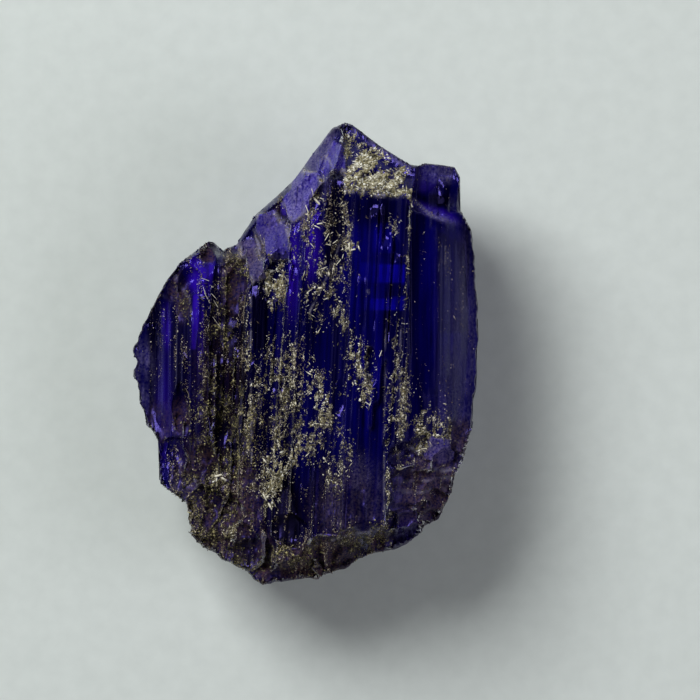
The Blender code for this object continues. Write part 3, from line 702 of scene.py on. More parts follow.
# Flat faces with a finish of their own: (mask, strength, corners)
FACETS = [
    ("frost", 0.75, GLASSY_LUMP),
    # Violet on the glassy lump, partly painted highlights
    ("violet_and_glow", 0.35, GLASSY_LUMP),
    # Painted shade over the dark box
    ("painted_shade", 0.60, DARK_BOX),
    # Painted glow in bands across the middle
    ("inner", 1.00, [(2.45, 4.15), (2.45, 3.30), (4.40, 3.20), (4.40, 4.05)]),
    ("inner", 0.95, [(2.60, 2.50), (2.60, 2.00), (4.45, 2.00), (4.45, 2.60)]),
    ("inner", 0.60, [(2.90, 5.90), (2.90, 4.60), (3.90, 4.60), (3.90, 5.90)]),
    # Painted sheen and frost on the crest's faces
    ("frost", 0.75, [(1.98, 10.00), (4.68, 8.24), (4.75, 8.60), (2.07, 10.60)]),
    ("frost", 1.00, LINED_FACE),
    ("violet_and_glow", 0.80, LINED_FACE),
    ("frost", 0.75, HEX_FACE),
    ("violet_and_glow", 0.60, HEX_FACE),
    ("frost", 0.45, PURPLE_FACE),
    ("violet_and_glow", 0.45, PURPLE_FACE),
    # Painted glow and painted highlights on small chips under the crest
    ("violet_and_glow", 1.00, [(-0.22, 7.35), (-0.12, 6.62), (0.05, 6.75), (0.12, 7.40)]),
    ("violet_and_glow", 1.00, [(0.22, 6.50), (0.25, 5.90), (0.52, 5.90), (0.58, 6.45)]),
    ("violet_and_glow", 0.90, [(0.15, 5.70), (0.15, 5.10), (0.45, 5.10), (0.48, 5.70)]),
    ("violet_and_glow", 0.80, [(-1.20, 6.85), (-1.10, 6.30), (-0.65, 6.20), (-0.60, 6.75)]),
    ("frost", 0.70, ROOF_FACE),
    ("brown_and_shade", 0.35, ROOF_FACE),
    ("frost", 0.55, [(-3.00, 5.40), (-2.20, 6.50), (-1.20, 7.60), (-0.20, 8.60), (-0.80, 8.40),
                     (-3.20, 5.60)]),
    # Painted shade under the crest, on the sunk face and on the right column
    ("painted_shade", 0.80, [(0.85, 8.25), (0.85, 4.00), (1.76, 4.00), (1.76, 8.25)]),
    ("painted_shade", 0.85, SUNK_FACE),
    ("painted_shade", 0.60, [(5.90, 5.60), (5.90, 1.00), (7.30, 1.00), (7.10, 5.00)]),
    # Painted glow in streaks of the left shard
    ("violet_and_glow", 1.00, [(-5.12, 2.75), (-5.22, 0.30), (-5.02, 0.25), (-4.84, 1.60), (-4.86, 2.70)]),
    ("violet_and_glow", 0.70, [(-5.20, 3.90), (-5.10, 2.80), (-4.50, 2.60), (-4.25, 3.20), (-4.50, 3.95)]),
    ("violet_and_glow", 0.90, [(-6.52, 2.00), (-6.45, 0.50), (-6.32, 0.50), (-6.36, 2.10)]),
    ("brown_and_shade", 1.00, [(-4.95, 4.37), (-4.20, 4.19), (-4.10, 4.73), (-4.60, 5.18)]),
    # The broken foot: brown stain, partly a painted warm reflection
    ("brown_and_shade", 1.00, [(-0.40, -10.6), (3.60, -9.60), (3.60, -7.90), (1.30, -8.56), (-0.27, -9.23)]),
    ("brown_and_shade", 0.90, [(5.05, -8.20), (6.10, -8.20), (6.04, -7.43), (5.20, -7.60)]),
]

# Pale bruised edges and seams, partly painted highlights along edges, and one painted glint: (half width,
# strength, points in millimetres)
STROKES = [
    (0.060, 1.00, [(-1.10, 6.80), (-0.60, 5.90), (-0.10, 6.40)]),
    (0.045, 0.90, [(-0.15, 8.30), (0.30, 8.30), (0.68, 7.75), (0.55, 7.43)]),
    (0.070, 1.00, [(-1.45, 6.40), (-1.00, 5.80), (-0.76, 4.85)]),
    (0.050, 0.80, [(-2.20, 6.35), (-2.30, 5.60), (-1.95, 4.80)]),
    (0.060, 0.90, [(-2.45, 5.60), (-2.10, 4.40)]),
    (0.075, 1.00, [(-3.15, 5.05), (-2.39, 3.29), (-1.70, 3.47)]),
    (0.030, 0.60, [(-1.70, 3.47), (-2.60, 5.27)]),
    (0.055, 0.90, [(1.15, 8.32), (1.76, 8.32)]),
    (0.040, 0.80, [(0.90, 9.00), (1.20, 8.40)]),
    (0.035, 0.70, [(1.10, 9.30), (1.50, 8.70)]),
    (0.040, 0.60, [(4.82, 6.98), (5.63, 6.26), (6.17, 6.08), (6.67, 5.95)]),
    (0.040, 0.75, [(1.76, 9.90), (1.76, 7.43)]),
    (0.060, 0.90, [(1.76, 7.43), (3.20, 7.20), (4.68, 7.07)]),
    (0.030, 0.50, [(1.20, 9.60), (0.66, 8.30), (0.70, 7.60)]),
    (0.035, 0.75, [(4.00, -5.27), (5.30, -5.20), (6.70, -5.09)]),
    (0.030, 0.65, [(4.30, -5.70), (5.50, -5.62), (6.50, -5.54)]),
    (0.030, 0.55, [(4.15, -6.10), (5.20, -6.15), (6.30, -6.00)]),
    (0.045, 0.85, [(4.46, -4.14), (5.00, -4.28), (5.60, -4.14)]),
    (0.035, 0.50, [(-0.27, -8.87), (1.53, -8.33), (3.56, -7.79)]),
    (0.030, 0.55, [(-1.60, -8.60), (-1.75, -10.2)]),
    (0.025, 0.45, [(3.56, 1.10), (3.47, -8.30)]),
    (0.025, 0.45, [(4.23, 1.10), (4.14, -8.30)]),
    (0.025, 0.35, [(5.95, 5.20), (5.97, 3.80)]),
    (0.025, 0.35, [(6.25, 4.90), (6.28, 3.20)]),
    # A painted glint
    (0.035, 0.55, [(2.74, 2.86), (2.84, 2.80)]),
    (0.035, 0.60, [(-2.50, 2.60), (-2.45, -4.80)]),
    (0.030, 0.50, [(-6.20, 4.00), (-5.30, 2.60), (-5.10, 1.40)]),
    (0.035, 0.60, [(1.60, 5.20), (0.90, 3.40), (-0.20, 1.20)]),
]
# Plates that stand above the ground beside them, by corners as in FACETS
PLATES = [HEX_FACE, PURPLE_FACE, ROOF_FACE, LINED_FACE, GLASSY_LUMP, DARK_BOX]
# Faces that broke open last, so that little dust lies on them
FRESH_FACES = PLATES + [SUNK_FACE]


def inside_by(x, y, corners):
    """How far inside a convex outline a point lies: the smallest of its distances to the sides, which are
    negative outside."""
    nearest = np.full_like(x, 10.0)
    for (x0, y0), (x1, y1) in zip(corners, corners[1:] + corners[:1]):
        length = math.hypot(x1 - x0, y1 - y0)
        nearest = np.minimum(nearest, ((x1 - x0) * (y - y0) - (y1 - y0) * (x - x0)) / length)
    return nearest


def in_facet(x, y, corners):
    """1 inside a convex outline and 0 outside, soft over 0.1 mm."""
    return smooth(-0.05, 0.05, inside_by(x, y, corners))


# Rows are further apart than lines, so a stroke along a row has to be wider to show
ROW_SHRINK = 0.65


def strokes_at(x, y):
    """The strongest of the strokes at each point. A stroke's value is its strength * exp(-(d / w)^2), where
    d is the distance to its nearest stretch and w its half width."""
    out = np.zeros_like(x)
    for wide, strength, path in STROKES:
        for (x0, y0), (x1, y1) in zip(path, path[1:]):
            along = ((x - x0) * (x1 - x0) + (y - y0) * (y1 - y0)) / ((x1 - x0) ** 2 + (y1 - y0) ** 2)
            along = np.clip(along, 0.0, 1.0)
            off = (x - x0 - along * (x1 - x0)) ** 2 + (ROW_SHRINK * (y - y0 - along * (y1 - y0))) ** 2
            out = np.maximum(out, strength * np.exp(-off / wide ** 2))
    return out


def masks_at(x, y):
    """All the masks as a dictionary of arrays: patches and facets, each broken up by noise at the size of
    its own grains. The streaks in them follow the lines, so they're counted across by x - lean * y."""
    across = x - lean(x) * y
    clumps = (rough(across / 0.13, y / 0.26, 11) + 0.50 * rough(across / 0.09, y / 2.4, 37)
              + 0.35 * rough(x, y, 43))
    coarse = rough(x / 1.3, y / 2.1, 23)
    streaky = rough(across / 0.16, y / 1.9, 41)
    tables = {"cream": CREAM_PATCHES, "olive": OLIVE_PATCHES, "frost": FROST_AND_SHEEN_PATCHES,
              "brown_and_shade": BROWN_AND_SHADE_PATCHES, "violet_and_glow": VIOLET_AND_GLOW_PATCHES, "inner": PAINTED_INNER_GLOW, "painted_shade": PAINTED_SHADE_PATCHES}
    found = {name: patches_at(x, y, rows) for name, rows in tables.items()}
    for name, strength, corners in FACETS:
        found[name] = np.maximum(found[name], strength * in_facet(x, y, corners))
    # The flakes on the cap lie in streaks that rise to the right
    streak, beside = 0.82 * x + 0.57 * y, 0.82 * y - 0.57 * x
    streaks = rough(streak / 0.55, beside / 0.24, 13) + 0.3 * rough(x / 0.14, y / 0.14, 17)
    flakes = in_facet(x, y, CAP_FACE) * smooth(-0.35, 0.55, streaks)
    # How each mask is broken up: (a noise, its value where the mask is gone, its value where it is whole)
    break_up = {
        "cream": (clumps, -0.25, 0.75),
        "painted_shade": (streaky + 0.5 * coarse, -1.2, 0.0),
        "olive": (rough(x / 0.30, y / 0.42, 53), -0.40, 0.50),
        "frost": (coarse + 0.5 * streaky, -0.9, 0.5),
        "brown_and_shade": (coarse + 0.3 * clumps, -1.1, 0.1),
        "violet_and_glow": (streaky, -1.0, 0.1),
        "inner": (streaky + 0.4 * coarse, -0.9, 0.6),
    }
    for name, (pattern, gone, whole) in break_up.items():
        found[name] = found[name] * smooth(gone, whole, pattern)
    found["cream"] = np.maximum(found["cream"], flakes)
    # Pale edges and seams, partly painted highlights, broken up by noise
    found["pale_edges_and_highlights"] = strokes_at(x, y) * smooth(-0.5, 0.5, rough(x / 0.25, y / 0.25, 79))
    # Fine dust lies in the grooves nearly everywhere, least on the clean faces at the right
    clean_side = smooth(1.4, 2.2, x) * smooth(-8.0, -7.0, y)
    dusty = (1 - 0.85 * clean_side) * (0.15 + 0.85 * smooth(-0.2, 0.6, coarse)) + patches_at(x, y, HACKLED)
    found["dust"] = dusty * smooth(0.1, 0.9, rough(across / 0.11, y / 1.5, 67) + 0.5 * clumps)
    fresh = np.max([in_facet(x, y, corners) for corners in FRESH_FACES], axis=0)
    for name in ("cream", "olive", "dust"):
        found[name] = found[name] * (1 - 0.85 * fresh)
    return {name: np.clip(value, 0.0, 1.0) for name, value in found.items()}


front_x, front_y = front[..., 0].copy(), front[..., 1].copy()
masks = masks_at(front_x, front_y)
print("masks, on average:", {name: round(float(value.mean()), 3) for name, value in masks.items()})

# %% [markdown]
# ## Striations and broken ground
# A striation is a narrow flat step that starts and stops suddenly, so plain waves would look wrong. Here
# each strip of lines has its own depth from a lattice of random numbers, constant over a stretch of its
# length. Three widths are laid over each other: 0.55, 0.24 and 0.12 mm. Where the stone is broken or etched,
# uneven ground is added. All of it goes inwards, so the size can't grow.

# %% The relief
def strip_steps(u, y, width, stretch, seed):
    """A depth from 0 to 1 for each point: the random number of its strip and stretch. A strip is width wide
    across the lines. A stretch is about that long along them, and starts at a place of the strip's own."""
    strip = np.floor(u / width + 0.35 * noise(u * 0 + seed, y / 9.0, seed + 5))
    shift = lattice(strip, strip * 0, seed + 1)
    run = np.floor(y / (stretch * (0.6 + 0.8 * shift)) + 7 * shift)
    return lattice(strip, run, seed + 2)


# How far the plates stand above the ground beside them, in millimetres
PLATE_HEIGHT = 0.16


def relief_at(u, x, y, masks):
    """How far each point sinks inwards, in millimetres: the steps, less where the stone is calm or broken,
    plus broken ground, etching and the sunk ground beside the plates."""
    rugged = 1 + 1.3 * smooth(-4.6, -3.6, x) * smooth(2.0, 0.8, x) * smooth(6.0, 3.0, y)
    steps = (0.070 * rugged * strip_steps(u, y, 0.55, 9.0, 101) ** 2
             + 0.040 * rugged * strip_steps(u, y, 0.24, 6.5, 211) ** 2
             + 0.022 * strip_steps(u, y, 0.12, 4.5, 307))
    # The faces at the right grew last and are the smoothest
    calm = (1 - 0.92 * smooth(4.6, 4.9, x) * smooth(-3.4, -2.4, y)
            - 0.92 * smooth(1.2, 1.8, x) * smooth(4.4, 4.0, x))
    broken = np.maximum(np.maximum(masks["brown_and_shade"], 0.7 * masks["olive"]), patches_at(x, y, HACKLED))
    ground = (0.26 * np.abs(rough(x / 0.62, y / 0.80, 71, 3))
              + 0.15 * (0.5 + 0.5 * rough(x / 0.17, y / 0.2, 83)))
    etched = 0.030 * (0.5 + 0.5 * rough(x / 0.14, y / 0.30, 97))
    beside = np.zeros_like(x)
    for corners in PLATES:
        inside = inside_by(x, y, corners)
        beside = np.maximum(beside, (1 - smooth(-0.08, 0.0, inside)) * np.exp(-(inside / 0.45) ** 2))
    return (steps * calm * (1 - 0.6 * broken) + broken * ground + masks["frost"] * etched
            + PLATE_HEIGHT * beside)


def normals_of(grid):
    """The outward direction at each point of a grid: the cross product of its two differences."""
    across = np.gradient(grid, axis=0)
    along = np.gradient(grid, axis=1)
    out = np.cross(across, along)
    length = np.linalg.norm(out, axis=-1, keepdims=True)
    return out / np.maximum(length, 1e-12)


line_number = np.broadcast_to(U[:, None], front_x.shape)
steep = smooth(0.60, 0.25, np.abs(normals_of(front)[..., 2]))
# Painted shade on the steep walls near the outline: they are given a near-black colour, a dull gloss and some
# brown
masks["rim"] = steep * (0.15 + 0.85 * smooth(0.9, 0.4, edge_distance))
masks["rim"] *= 1 - 0.8 * smooth(4.0, 5.0, front_y) * smooth(1.5, 0.5, front_x)
# The painted rim shade also counts as brown
masks["brown_and_shade"] = np.maximum(masks["brown_and_shade"], 0.35 * masks["rim"])
away_from_rim = smooth(0.0, 0.12, edge_distance)
depth = relief_at(line_number, front_x, front_y, masks) * away_from_rim
front = front - normals_of(front) * depth[..., None]
print("relief up to", depth.max().round(3), "mm deep, on average", depth.mean().round(3))

# %% [markdown]
# The front and the back are sewn together into one closed surface, because light can only be followed
# through a stone that has an inside. The masks go with it as numbers stored at each point.

# %% Closing the skin
def closed_faces(columns, rows):
    """The faces of the closed skin. The front is a grid of quads. The back is a grid half as fine, turned
    over, whose outer ring isn't there: its second ring is stitched to the front's outline, with three
    triangles for each pair of front edges."""
    front_at = np.arange((columns + 1) * (rows + 1)).reshape(columns + 1, rows + 1)
    quads = np.stack([front_at[:-1, :-1], front_at[1:, :-1], front_at[1:, 1:], front_at[:-1, 1:]], -1)
    back_at = front_at.size + np.arange((columns // 2 - 1) * (rows // 2 - 1))
    back_at = back_at.reshape(columns // 2 - 1, rows // 2 - 1)
    under = np.stack([back_at[:-1, :-1], back_at[:-1, 1:], back_at[1:, 1:], back_at[1:, :-1]], -1)
    # The ring of the back, met in the same order as the front's outline
    outer = np.concatenate([front_at[:, 0], front_at[-1, 1:], front_at[-2::-1, -1], front_at[0, -2:0:-1]])
    wide, tall = columns // 2, rows // 2
    i = np.concatenate([np.arange(wide), np.full(tall, wide), np.arange(wide, 0, -1), np.zeros(tall, int)])
    j = np.concatenate([np.zeros(wide, int), np.arange(tall), np.full(wide, tall), np.arange(tall, 0, -1)])
    inner = back_at[np.clip(i, 1, wide - 1) - 1, np.clip(j, 1, tall - 1) - 1]
    a, b, c = outer[0::2], outer[1::2], np.roll(outer, -2)[0::2]
    p, q = inner, np.roll(inner, -1)
    stitches = np.concatenate([np.stack([a, p, b], -1), np.stack([b, p, q], -1), np.stack([b, q, c], -1)])
    stitches = stitches[(stitches[:, 0] != stitches[:, 1]) & (stitches[:, 1] != stitches[:, 2])]
    return np.concatenate([quads.reshape(-1, 4), under.reshape(-1, 4)]), stitches


def mesh_of(name, points, quads, triangles):
    """A mesh from whole arrays: points in millimetres, faces of four corners and faces of three."""
    mesh = bpy.data.meshes.new(name)
    mesh.vertices.add(len(points))
    mesh.vertices.foreach_set("co", (points * MM).astype(np.float32).ravel())
    mesh.loops.add(quads.size + triangles.size)
    corners = np.concatenate([quads.ravel(), triangles.ravel()])
    mesh.loops.foreach_set("vertex_index", corners.astype(np.int32))
    starts = np.concatenate([np.arange(len(quads)) * 4, quads.size + np.arange(len(triangles)) * 3])
    mesh.polygons.add(len(starts))
    mesh.polygons.foreach_set("loop_start", starts.astype(np.int32))
    mesh.update(calc_edges=True)
    mesh.validate()
    return mesh


quads, stitches = closed_faces(COLUMNS, ROWS)
points = np.concatenate([front.reshape(-1, 3), back[1:-1, 1:-1].reshape(-1, 3)])
skin_mesh = mesh_of("crystal_skin", points, quads, stitches)
skin = placed("crystal_skin", skin_mesh)


def give_attribute(mesh, name, values):
    """Stores one number for each point, for the materials to read by that name."""
    layer = mesh.attributes.new(name, "FLOAT", "POINT")
    layer.data.foreach_set("value", values.astype(np.float32).ravel())


back_inner = back[1:-1, 1:-1]
back_masks = masks_at(back_inner[..., 0], back_inner[..., 1])
# Painted shade on the back's steep walls
back_masks["rim"] = smooth(0.60, 0.25, np.abs(normals_of(back_inner)[..., 2]))
for mask_name in masks:
    # The back has the same patches, only weaker, as it grew in the same pocket
    whole = np.concatenate([masks[mask_name].ravel(), 0.6 * back_masks[mask_name].ravel()])
    give_attribute(skin_mesh, mask_name, whole)
back_line = np.broadcast_to(U[2:-2:2, None], back_inner.shape[:2])
give_attribute(skin_mesh, "line", np.concatenate([line_number.ravel(), back_line.ravel()]))
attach(skin, "root")
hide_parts("crystal")
print("skin:", len(points), "points,", 2 * len(quads) + len(stitches), "triangles")

# %% [markdown]
# ## The grains
# The pale dust on a rough stone is thousands of broken mineral grains of 0.03 to 0.2 mm, half sunk in the
# etched surface. Painted dots would stay flat, so each grain is a real little solid: a squashed double
# pyramid with eight faces. The chance that one sticks at a place follows the mask's value there.

# %% Sowing the grains
# The furthest that a sliver's end may be from its middle, in millimetres
LONGEST_SLIVER = 0.24
TRIANGLES_PER_GRAIN = 8


def sown(rng, count, chance, grid, normals):
    """Random places on a grid: (points, directions). Cells are drawn in proportion to chance times area,
    and a place within a cell is its four corners mixed by two random shares."""
    cell = (chance[:-1, :-1] + chance[1:, 1:]) / 2
    spans = np.cross(grid[1:, :-1] - grid[:-1, :-1], grid[:-1, 1:] - grid[:-1, :-1])
    weight = (cell * np.linalg.norm(spans, axis=-1)).ravel()
    picked = rng.choice(weight.size, size=count, p=weight / weight.sum())
    i, j = np.divmod(picked, chance.shape[1] - 1)
    s, t = rng.random((2, count, 1))
    spot = ((1 - s) * (1 - t) * grid[i, j] + s * (1 - t) * grid[i + 1, j]
            + (1 - s) * t * grid[i, j + 1] + s * t * grid[i + 1, j + 1])
    return spot, normals[i, j]


def grain_mesh(name, rng, spots, facing, sizes, slivers):
    """Double pyramids at spots, joined in one mesh. Each has four corners round its waist, from 0.5 to 1.5 of
    its size away from its middle, and two tips 0.7 times as far. Its waist lies in the surface, tilted a
    little at random. The given share of them are slivers: 2 to 5 times as long, and narrower by the root of
    that."""
    count = len(spots)
    up = facing + 0.35 * rng.standard_normal((count, 3))
    up /= np.linalg.norm(up, axis=1, keepdims=True)
    right = np.cross(rng.standard_normal((count, 3)), up)
    right /= np.linalg.norm(right, axis=1, keepdims=True)
    forward = np.cross(up, right)
    stretch = np.where(rng.random(count) < slivers, rng.uniform(2.0, 5.0, count), 1.0)
    reach = rng.uniform(0.5, 1.5, (count, 6)) * sizes[:, None]
    reach[:, [0, 2]] = np.minimum(reach[:, [0, 2]] * stretch[:, None], LONGEST_SLIVER)
    reach[:, [1, 3]] /= np.sqrt(stretch)[:, None]
    reach[:, 4:] *= 0.7
    corners = np.stack([
        spots + right * reach[:, [0]], spots + forward * reach[:, [1]], spots - right * reach[:, [2]],
        spots - forward * reach[:, [3]], spots + up * reach[:, [4]], spots - up * reach[:, [5]],
    ], axis=1)
    one = np.array([[0, 1, 4], [1, 2, 4], [2, 3, 4], [3, 0, 4], [1, 0, 5], [2, 1, 5], [3, 2, 5], [0, 3, 5]])
    faces = (np.arange(count)[:, None, None] * 6 + one[None]).reshape(-1, 3)
    corners = np.clip(corners.reshape(-1, 3), LOW, HIGH)
    mesh = mesh_of(name, corners, np.empty((0, 4), int), faces)
    give_attribute(mesh, "grain", np.repeat(rng.random(count), 6))
    return mesh


def grain_piece(name, seed, count, chance, usual, biggest, slivers):
    """One piece of grains on the front. A size is usual * exp(0.45 n) with n from a bell curve, and biggest
    at most, because small grains are far more common than large ones."""
    rng = np.random.default_rng(seed)
    spots, facing = sown(rng, count, chance * away_from_rim, front, normals_of(front))
    sizes = np.minimum(usual * np.exp(0.45 * rng.standard_normal(count)), biggest)
    obj = placed(name, grain_mesh(name, rng, spots, facing, sizes, slivers))
    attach(obj, "root")
    print(name + ":", count, "grains,", count * TRIANGLES_PER_GRAIN, "triangles")
    return obj


# Where the larger flakes lie, apart from the cap, in rows as in CREAM_PATCHES
FLAKE_PATCHES = [
    (-1.50, 3.30, 0.42, 1.20, -8.0, 0.75),   # the recess beside the purple face
    (-1.35, -5.70, 0.36, 1.15, -6.0, 0.90),
    (-0.70, -4.60, 0.40, 0.90, -30.0, 0.55),
    (5.90, -3.85, 0.60, 0.35, -15.0, 0.90),
    (5.05, -4.20, 0.50, 0.16, 8.0, 0.90),
    (0.40, -2.20, 0.50, 0.90, -20.0, 0.55),
    (2.30, -0.30, 0.45, 1.10, 10.0, 0.45),
    (1.50, -0.60, 0.30, 0.45, 0.0, 0.55),
    (2.02, 4.80, 0.22, 0.25, 0.0, 1.00),
    (0.20, 2.20, 0.55, 0.70, 0.0, 0.40),
    (-3.95, -5.45, 0.30, 0.22, 0.0, 0.80),
]
in_cap = in_facet(front_x, front_y, CAP_FACE)
flaky = np.maximum(in_cap, patches_at(front_x, front_y, FLAKE_PATCHES))
# Each piece: name, seed, number of grains, chance of one, usual and biggest size in mm, share of slivers
cap_flakes = grain_piece("cap_flakes", 8, 5200, masks["cream"] ** 1.5 * flaky, 0.036, 0.110, 0.35)
crumbly = masks["cream"] * (1 - 0.6 * in_cap)
cream_grains = grain_piece("cream_grains", 5, 24000, crumbly ** 1.1, 0.021, 0.090, 0.22)
olive_grains = grain_piece("olive_grains", 6, 17000, masks["olive"] ** 1.2, 0.022, 0.070, 0.10)
fine_dust = grain_piece("fine_dust", 7, 20000, masks["dust"] + 0.5 * masks["pale_edges_and_highlights"], 0.015, 0.040, 0.15)

# %% [markdown]
# Some crystals are long enough to be told apart: needles that lie loose, most of them below the crest and on
# the left shard. They're laid one by one, and each is a square rod with a point at either end.

# %% Needles
# Each is (x, y, angle from +X in degrees, half length, half width) in millimetres
NEEDLES = [
    (0.54, 6.85, -47.0, 0.42, 0.060), (0.66, 5.90, 10.0, 0.18, 0.030), (0.50, 5.75, -25.0, 0.16, 0.026),
    (0.95, 5.30, 60.0, 0.22, 0.018), (1.12, 5.45, 35.0, 0.14, 0.018), (1.35, 5.10, 35.0, 0.20, 0.018),
    (1.10, 4.55, -70.0, 0.18, 0.018), (1.50, 4.20, 50.0, 0.22, 0.018), (1.66, 4.42, 75.0, 0.12, 0.018),
    (0.30, 4.90, -50.0, 0.16, 0.020), (0.80, 3.90, 20.0, 0.18, 0.018), (-0.10, 3.60, 75.0, 0.20, 0.020),
    (1.05, 3.10, -40.0, 0.20, 0.018), (0.20, 2.90, 30.0, 0.16, 0.022), (1.95, 4.85, 80.0, 0.14, 0.045),
    (2.12, 4.72, 15.0, 0.12, 0.035), (-4.20, 1.70, -55.0, 0.40, 0.012), (-3.90, 1.30, -50.0, 0.34, 0.012),
    (-4.45, 2.55, -62.0, 0.30, 0.012), (-4.25, 2.75, -48.0, 0.34, 0.012), (-4.60, 2.95, -70.0, 0.26, 0.012),
    (-4.10, 2.35, -58.0, 0.30, 0.014), (-4.35, 3.15, -35.0, 0.24, 0.012), (-4.55, 3.40, -20.0, 0.22, 0.012),
    (0.30, 7.30, -75.0, 0.20, 0.020), (0.75, 7.00, -20.0, 0.14, 0.022), (-2.00, 2.60, -50.0, 0.30, 0.012),
    (-3.95, -5.45, 15.0, 0.20, 0.055), (-3.70, -5.60, -30.0, 0.16, 0.045), (-1.55, -6.90, -58.0, 0.30, 0.050),
    (-1.85, -6.40, -62.0, 0.22, 0.040), (3.35, 0.05, 70.0, 0.18, 0.020), (2.80, -2.20, -35.0, 0.18, 0.020),
    (5.20, -4.22, 6.0, 0.30, 0.030), (0.05, 6.55, -70.0, 0.22, 0.022), (1.00, 4.95, -15.0, 0.14, 0.018),
]
# The points of a rod: four round either end of its shaft, and its two tips
SHAFT = 0.7
ROD = np.array([(end, across, up) for end in (-SHAFT, SHAFT) for across, up in
                ((1, 0), (0, 1), (-1, 0), (0, -1))] + [(-1.0, 0, 0), (1.0, 0, 0)])
ROD_FACES = np.array([face for k, n in ((0, 1), (1, 2), (2, 3), (3, 0)) for face in
                      ((k, 4 + n, 4 + k), (k, n, 4 + n), (8, n, k), (9, 4 + k, 4 + n))])
# Where needles lie on the scale of shades from 0 to 1
NEEDLE_SHADE = 0.9


def needle_piece(name, rows):
    """Rods on the front, at the height of its nearest grid point. ROD gives the ten points of one as shares
    of its half length along it and of its half width across it and upwards, and the angle turns them."""
    x, y, angle, half_long, half_wide = np.array(rows).T[..., None]
    ground = front.reshape(-1, 3)
    nearest = ((ground[:, 0] - x) ** 2 + (ground[:, 1] - y) ** 2).argmin(1)
    c, s = np.cos(np.radians(angle)), np.sin(np.radians(angle))
    along, across = ROD[:, 0] * half_long, ROD[:, 1] * half_wide
    z = ground[nearest, 2][:, None] + (0.5 + ROD[:, 2]) * half_wide
    corners = np.stack([x + along * c - across * s, y + along * s + across * c, z], axis=-1)
    faces = (np.arange(len(rows))[:, None, None] * len(ROD) + ROD_FACES[None]).reshape(-1, 3)
    mesh = mesh_of(name, np.clip(corners.reshape(-1, 3), LOW, HIGH), np.empty((0, 4), int), faces)
    give_attribute(mesh, "grain", np.full(len(rows) * len(ROD), NEEDLE_SHADE))
    obj = placed(name, mesh)
    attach(obj, "root")
    print(name + ":", len(rows), "needles,", len(faces), "triangles")
    return obj


needles = needle_piece("feldspar_needles", NEEDLES)

# %% [markdown]
# ## The finishes
# Each finish is one node material. The function that made the room's nodes adds these too. Where one kind is
# needed many times, as for a range, a mottled ground or a layer over another, a table lists them and a loop
# adds one for each row. Sockets that share a name are given by number: a Map Range node's 0 to 4 are the
# value, the two ends of its range and the two ends of the new one, and a colour Mix node's 0, 6 and 7 are the
# share of the second colour, the first colour and the second.

# %% An empty material
def new_material(name):
    """A material with no nodes yet."""
    material = bpy.data.materials.new(name)
    material.use_nodes = True
    material.node_tree.nodes.clear()
    return material


# %% [markdown]
# ### Tanzanite, grown faces
# Tanzanite is blue zoisite. Its index is 1.69, so it is glossier than glass. It takes in yellow and green
# light strongly, so a thick piece is nearly black with an ultramarine body, and thin edges glow violet. The
# faces grew, and were never cut or polished, so they carry fine lines along the length that shift the gloss.

# %% What the finish reads
tanzanite = new_material("tanzanite_grown_faces")
read = {}
for name in ("violet_and_glow", "frost", "brown_and_shade", "olive", "cream", "inner", "painted_shade", "pale_edges_and_highlights", "rim", "line"):
    read[name] = node(tanzanite, "ShaderNodeAttribute", attribute_name=name).outputs["Fac"]
place = node(tanzanite, "ShaderNodeTexCoord").outputs["Object"]
up_stone = node(tanzanite, "ShaderNodeSeparateXYZ", {0: place}).outputs["Y"]
across = node(tanzanite, "ShaderNodeMath", {0: read["line"], 1: MM}, operation="MULTIPLY").outputs[0]
along_lines = node(tanzanite, "ShaderNodeCombineXYZ", {0: across, 1: up_stone}).outputs[0]

# Noise drawn out along the lines: (its name, its size across them and along them in mm). The finest real
# lines are closer together than the picture's pixels, so the hair lines are drawn about two pixels apart.
for name, spacing, length in (("hair", 0.10, 4.0), ("broad", 0.55, 9.0)):
    squeeze = (1 / (spacing * MM), 1 / (length * MM), 1.0)
    drawn_out = node(tanzanite, "ShaderNodeMapping", {"Vector": along_lines, "Scale": squeeze}).outputs[0]
    read[name] = node(tanzanite, "ShaderNodeTexNoise",
                      {"Vector": drawn_out, "Scale": 1.0, "Detail": 3.0, "Roughness": 0.6}).outputs[0]
# Noise that is the same in every direction: (its name, its size in mm, its detail). The sugary grain of the
# etching is too fine to show as well, and is drawn at 0.1 mm.
for name, size, detail in (("clouds", 1.6, 4.0), ("sugar", 0.10, 3.0)):
    read[name] = node(tanzanite, "ShaderNodeTexNoise",
                      {"Vector": place, "Scale": 1 / (size * MM), "Detail": detail}).outputs[0]
print("tanzanite reads", list(read))

# %% The shares of its layers
# Each is a reading carried from one range onto another: (reading, from low, from high, to low, to high)
RANGES = {
    "bands": ("broad", 0.38, 0.66, 0.0, 1.0),
    # Paler lines along the striations: painted sheen
    "hair_share": ("hair", 0.58, 0.76, 0.0, 0.22),
    "hair_gloss": ("hair", 0.4, 0.7, -0.05, 0.08),
    "dust_share": ("olive", 0.15, 0.9, 0.0, 0.7),
    "crust_share": ("cream", 0.10, 0.8, 0.0, 0.55),
    "rim_share": ("rim", 0.0, 1.0, 0.0, 0.25),
    "rim_dull": ("rim", 0.0, 1.0, 0.0, 0.5),
    # The strongest painted shade is also made dull, so that no highlight shows there
    "painted_shade_dull": ("painted_shade", 0.9, 1.0, 0.0, 0.8),
    "frost_clouds": ("clouds", 0.30, 0.62, 0.7, 1.0),
    "brown_and_shade_clouds": ("clouds", 0.36, 0.56, 0.65, 1.0),
    "frost_sugar": ("sugar", 0.35, 0.70, 0.0, 1.0),
    "brown_sugar": ("sugar", 0.38, 0.66, 0.0, 1.0),
    "dust_sugar": ("sugar", 0.40, 0.68, 0.0, 1.0),
    "crust_sugar": ("sugar", 0.42, 0.64, 0.0, 1.0),
}
